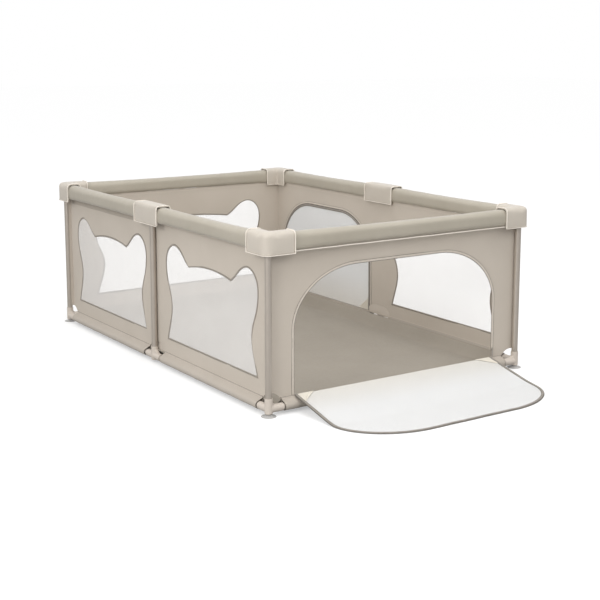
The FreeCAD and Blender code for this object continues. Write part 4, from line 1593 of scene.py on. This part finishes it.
@dataclass
class Teeth:
    """A row of moulded zip teeth along a line in a wall's plane."""

    line: np.ndarray
    pitch: float = 0.0034
    size: tuple[float, float, float] = (0.0019, 0.0022, 0.0024)

    def row(self, name: str) -> bpy.types.Object:
        """Models one tooth and sets copies of it along the line.

        Args:
            name: of the row.

        Returns:
            The row as one piece.
        """
        tooth = block("tooth", tuple(-value / 2 for value in self.size), tuple(value / 2 for value in self.size))
        modify(tooth, "BEVEL", width=0.0004, segments=1, limit_method="NONE")
        shape = points_of(tooth)
        faces = [tuple(face.vertices) for face in tooth.data.polygons]
        bpy.data.objects.remove(tooth)
        reach = run_of(self.line)
        at = np.arange(self.pitch / 2, reach[-1], self.pitch)
        middle, beyond = (np.column_stack([np.interp(at + step, reach, self.line[:, i]) for i in (0, 1)])
                          for step in (0.0, 0.0005))
        ahead = beyond - middle
        ahead /= np.maximum(np.linalg.norm(ahead, axis=1, keepdims=True), 1e-9)
        side = np.column_stack([-ahead[:, 1], ahead[:, 0]])
        flat = middle[:, None] + shape[None, :, :1] * ahead[:, None] + shape[None, :, 2:] * side[:, None]
        depth = np.broadcast_to(shape[None, :, 1] - WALL_LINE, flat.shape[:2])
        places = np.stack([flat[..., 0], depth, flat[..., 1]], -1).reshape(-1, 3)
        mesh = bpy.data.meshes.new(name)
        count = len(shape)
        mesh.from_pydata(places.tolist(), [], [tuple(index + count * number for index in face)
                                               for number in range(len(at)) for face in faces])
        piece = bpy.data.objects.new(name, mesh)
        bpy.context.scene.collection.objects.link(piece)
        outward(piece)
        return piece


@dataclass
class ZipTrack:
    """The zip sewn round a doorway: a rolled tape and its row of teeth."""

    name: str
    panel: Panel
    shape: DoorShape
    overlap: float = 0.0040      # of the tape over the wall's cloth

    def build(self) -> None:
        """Makes the tape, the dark cords beside it that paint the shadow in its seam, and the teeth."""
        outer, inner = self.shape.arch(-self.overlap), self.shape.arch(ZIP_WIDTH - 0.0022)
        tape = self.panel.put(ribbon(self.name + "_zip_roll", outer, inner, -WALL_LINE, 0.0032, False))
        settle(tape, ZIP_TAPE, smooth=60.0, stands_for=[self.name + "_zip"])
        # Painted shadow: dark cords on both faces along the tape's outer edge.
        line = self.shape.arch(-self.overlap - 0.0004)
        cords = [cord_along("seam", np.column_stack([line[:, 0], np.full(len(line), level), line[:, 1]]), 0.0008)
                 for level in (-WALL_LINE - 0.0013, -WALL_LINE + 0.0013)]
        settle(self.panel.put(joined(self.name + "_zip_seam", cords)), SEAM_SHADOW_CORD, smooth=60.0)
        teeth = Teeth(self.shape.arch(ZIP_WIDTH - 0.0013, DOOR_FOOT + 0.004)).row(self.name + "_zip_teeth")
        settle(self.panel.put(teeth), TEETH, smooth=40.0)
        log.info("%s zip: tape and teeth", self.name)


@dataclass
class Sliders:
    """The zip sliders and their hanging pulls, which are the CAD's own."""

    doors: tuple[str, ...] = ("front", "side")

    def build(self) -> None:
        """Plates the sliders and the pulls."""
        for door in self.doors:
            for part in ("zip_slider", "zip_pull"):
                DRESSER.dress(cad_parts["%s_%s" % (door, part)], PLATED, None)
        log.info("sliders: %d", len(self.doors))


# ---------------------------------------------------------------- studio
@dataclass
class Studio:
    """A plain pale room with soft light, and the camera."""

    lens: float = 71.84
    yaw: float = 33.61
    pitch: float = 9.40
    shift: float = -0.1
    eye: tuple[float, float, float] = (-2.801, -4.415, 1.330)
    horizon: float = 0.74
    zenith: float = 1.02
    backdrop: float = 1.0
    floor_tone: float = 0.62     # of the floor itself, as the camera sees it
    floor_glow: float = 0.42     # added to it, so that its shadows stay faint
    floor_bounce: float = 0.40   # what it gives back to the pen

    def build(self) -> None:
        """Makes the floor, the light and the camera."""
        pick()
        bpy.ops.mesh.primitive_plane_add(size=60.0, location=(0, 0, -0.0004))
        floor = named("studio_floor")
        nodes = Nodes("studio_floor")
        seen = nodes.add("ShaderNodeLightPath").outputs["Is Camera Ray"]
        tones = ((level,) * 3 for level in (self.floor_bounce, self.floor_tone))
        nodes.feed(nodes.shader.inputs["Base Color"], nodes.blend(seen, *tones))
        nodes.shader.inputs["Roughness"].default_value = 0.9
        nodes.shader.inputs["Specular IOR Level"].default_value = 0.0
        nodes.shader.inputs["Emission Color"].default_value = (1.0, 1.0, 1.0, 1.0)
        nodes.feed(nodes.shader.inputs["Emission Strength"], nodes.spread(seen, 0.0, self.floor_glow))
        floor.data.materials.append(nodes.material)
        self.sky()
        self.lamp("key", (-4.6, -2.2, 2.2), 2.0, 95.0)
        self.lamp("fill", (-1.0, -4.8, 3.4), 2.4, 48.0)
        self.lamp("top", (0.2, -1.1, 4.2), 3.0, 42.0)
        self.camera()
        bpy.context.scene.view_settings.view_transform = "Standard"
        log.info("studio ready")

    def sky(self) -> None:
        """White all round, brightest overhead, and even where the camera sees it."""
        world = bpy.data.worlds.new("studio")
        world.use_nodes = True
        bpy.context.scene.world = world
        tree = world.node_tree
        place = tree.nodes.new("ShaderNodeTexCoord")
        split = tree.nodes.new("ShaderNodeSeparateXYZ")
        glow = tree.nodes.new("ShaderNodeMapRange")
        level = tree.nodes.new("ShaderNodeMapRange")
        path = tree.nodes.new("ShaderNodeLightPath")
        glow.inputs["To Min"].default_value = self.horizon
        glow.inputs["To Max"].default_value = self.zenith
        level.inputs["To Max"].default_value = self.backdrop
        tree.links.new(place.outputs["Generated"], split.inputs[0])
        tree.links.new(split.outputs["Z"], glow.inputs["Value"])
        tree.links.new(path.outputs["Is Camera Ray"], level.inputs["Value"])
        tree.links.new(glow.outputs[0], level.inputs["To Min"])
        backdrop = tree.nodes["Background"]
        tree.links.new(level.outputs[0], backdrop.inputs["Strength"])
        backdrop.inputs["Color"].default_value = (1.0, 1.0, 1.0, 1.0)

    def lamp(self, name: str, place: tuple[float, float, float], size: float, power: float) -> None:
        """A soft square lamp that faces the middle of the pen.

        Args:
            name: of the lamp.
            place: where it stands.
            size: of its side.
            power: in watts.
        """
        data = bpy.data.lights.new(name, "AREA")
        data.shape = "SQUARE"
        data.size = size
        data.energy = power
        lamp = bpy.data.objects.new(name, data)
        lamp.location = place
        lamp.rotation_euler = (Vector((0, 0, 0.3)) - lamp.location).to_track_quat("-Z", "Y").to_euler()
        bpy.context.scene.collection.objects.link(lamp)

    def camera(self) -> None:
        """The camera, level from side to side."""
        data = bpy.data.cameras.new("camera")
        data.lens = self.lens
        data.sensor_width = 36.0
        data.shift_y = self.shift
        data.clip_end = 200.0
        camera = bpy.data.objects.new("camera", data)
        yaw, pitch = math.radians(self.yaw), math.radians(self.pitch)
        ahead = Vector((math.sin(yaw) * math.cos(pitch), math.cos(yaw) * math.cos(pitch), -math.sin(pitch)))
        camera.location = self.eye
        camera.rotation_euler = ahead.to_track_quat("-Z", "Y").to_euler()
        bpy.context.scene.collection.objects.link(camera)
        bpy.context.scene.camera = camera


def main() -> None:
    """Builds every part of the pen and the studio."""
    logging.basicConfig(level=logging.INFO, format="%(message)s")
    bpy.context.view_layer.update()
    Studio().build()
    SteelFrame().build()
    FootConnectors().build()
    SuctionFeet().build()
    PaddedRails().build()
    PaddedCaps().build()
    openings = (FRONT_DOOR, WIDE_WINDOW, SHORT_WINDOW, SHORT_WINDOW, SHORT_WINDOW, SIDE_DOOR)
    for number, (panel, opening) in enumerate(zip(PANELS, openings)):
        Wall(panel, opening, 20 + number, top_hem=0.024 if panel is LEFT_BACK else 0.0).build()
    CutOutCovers().build()
    FloorMat().build()
    for name, panel, shape, is_down in (("front", FRONT, FRONT_DOOR, True), ("side", RIGHT_BACK, SIDE_DOOR, False)):
        Door(name, panel, shape, is_down).build()
        ZipTrack(name, panel, shape).build()
    Sliders().build()
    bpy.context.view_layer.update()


if __name__ == "__main__":
    main()
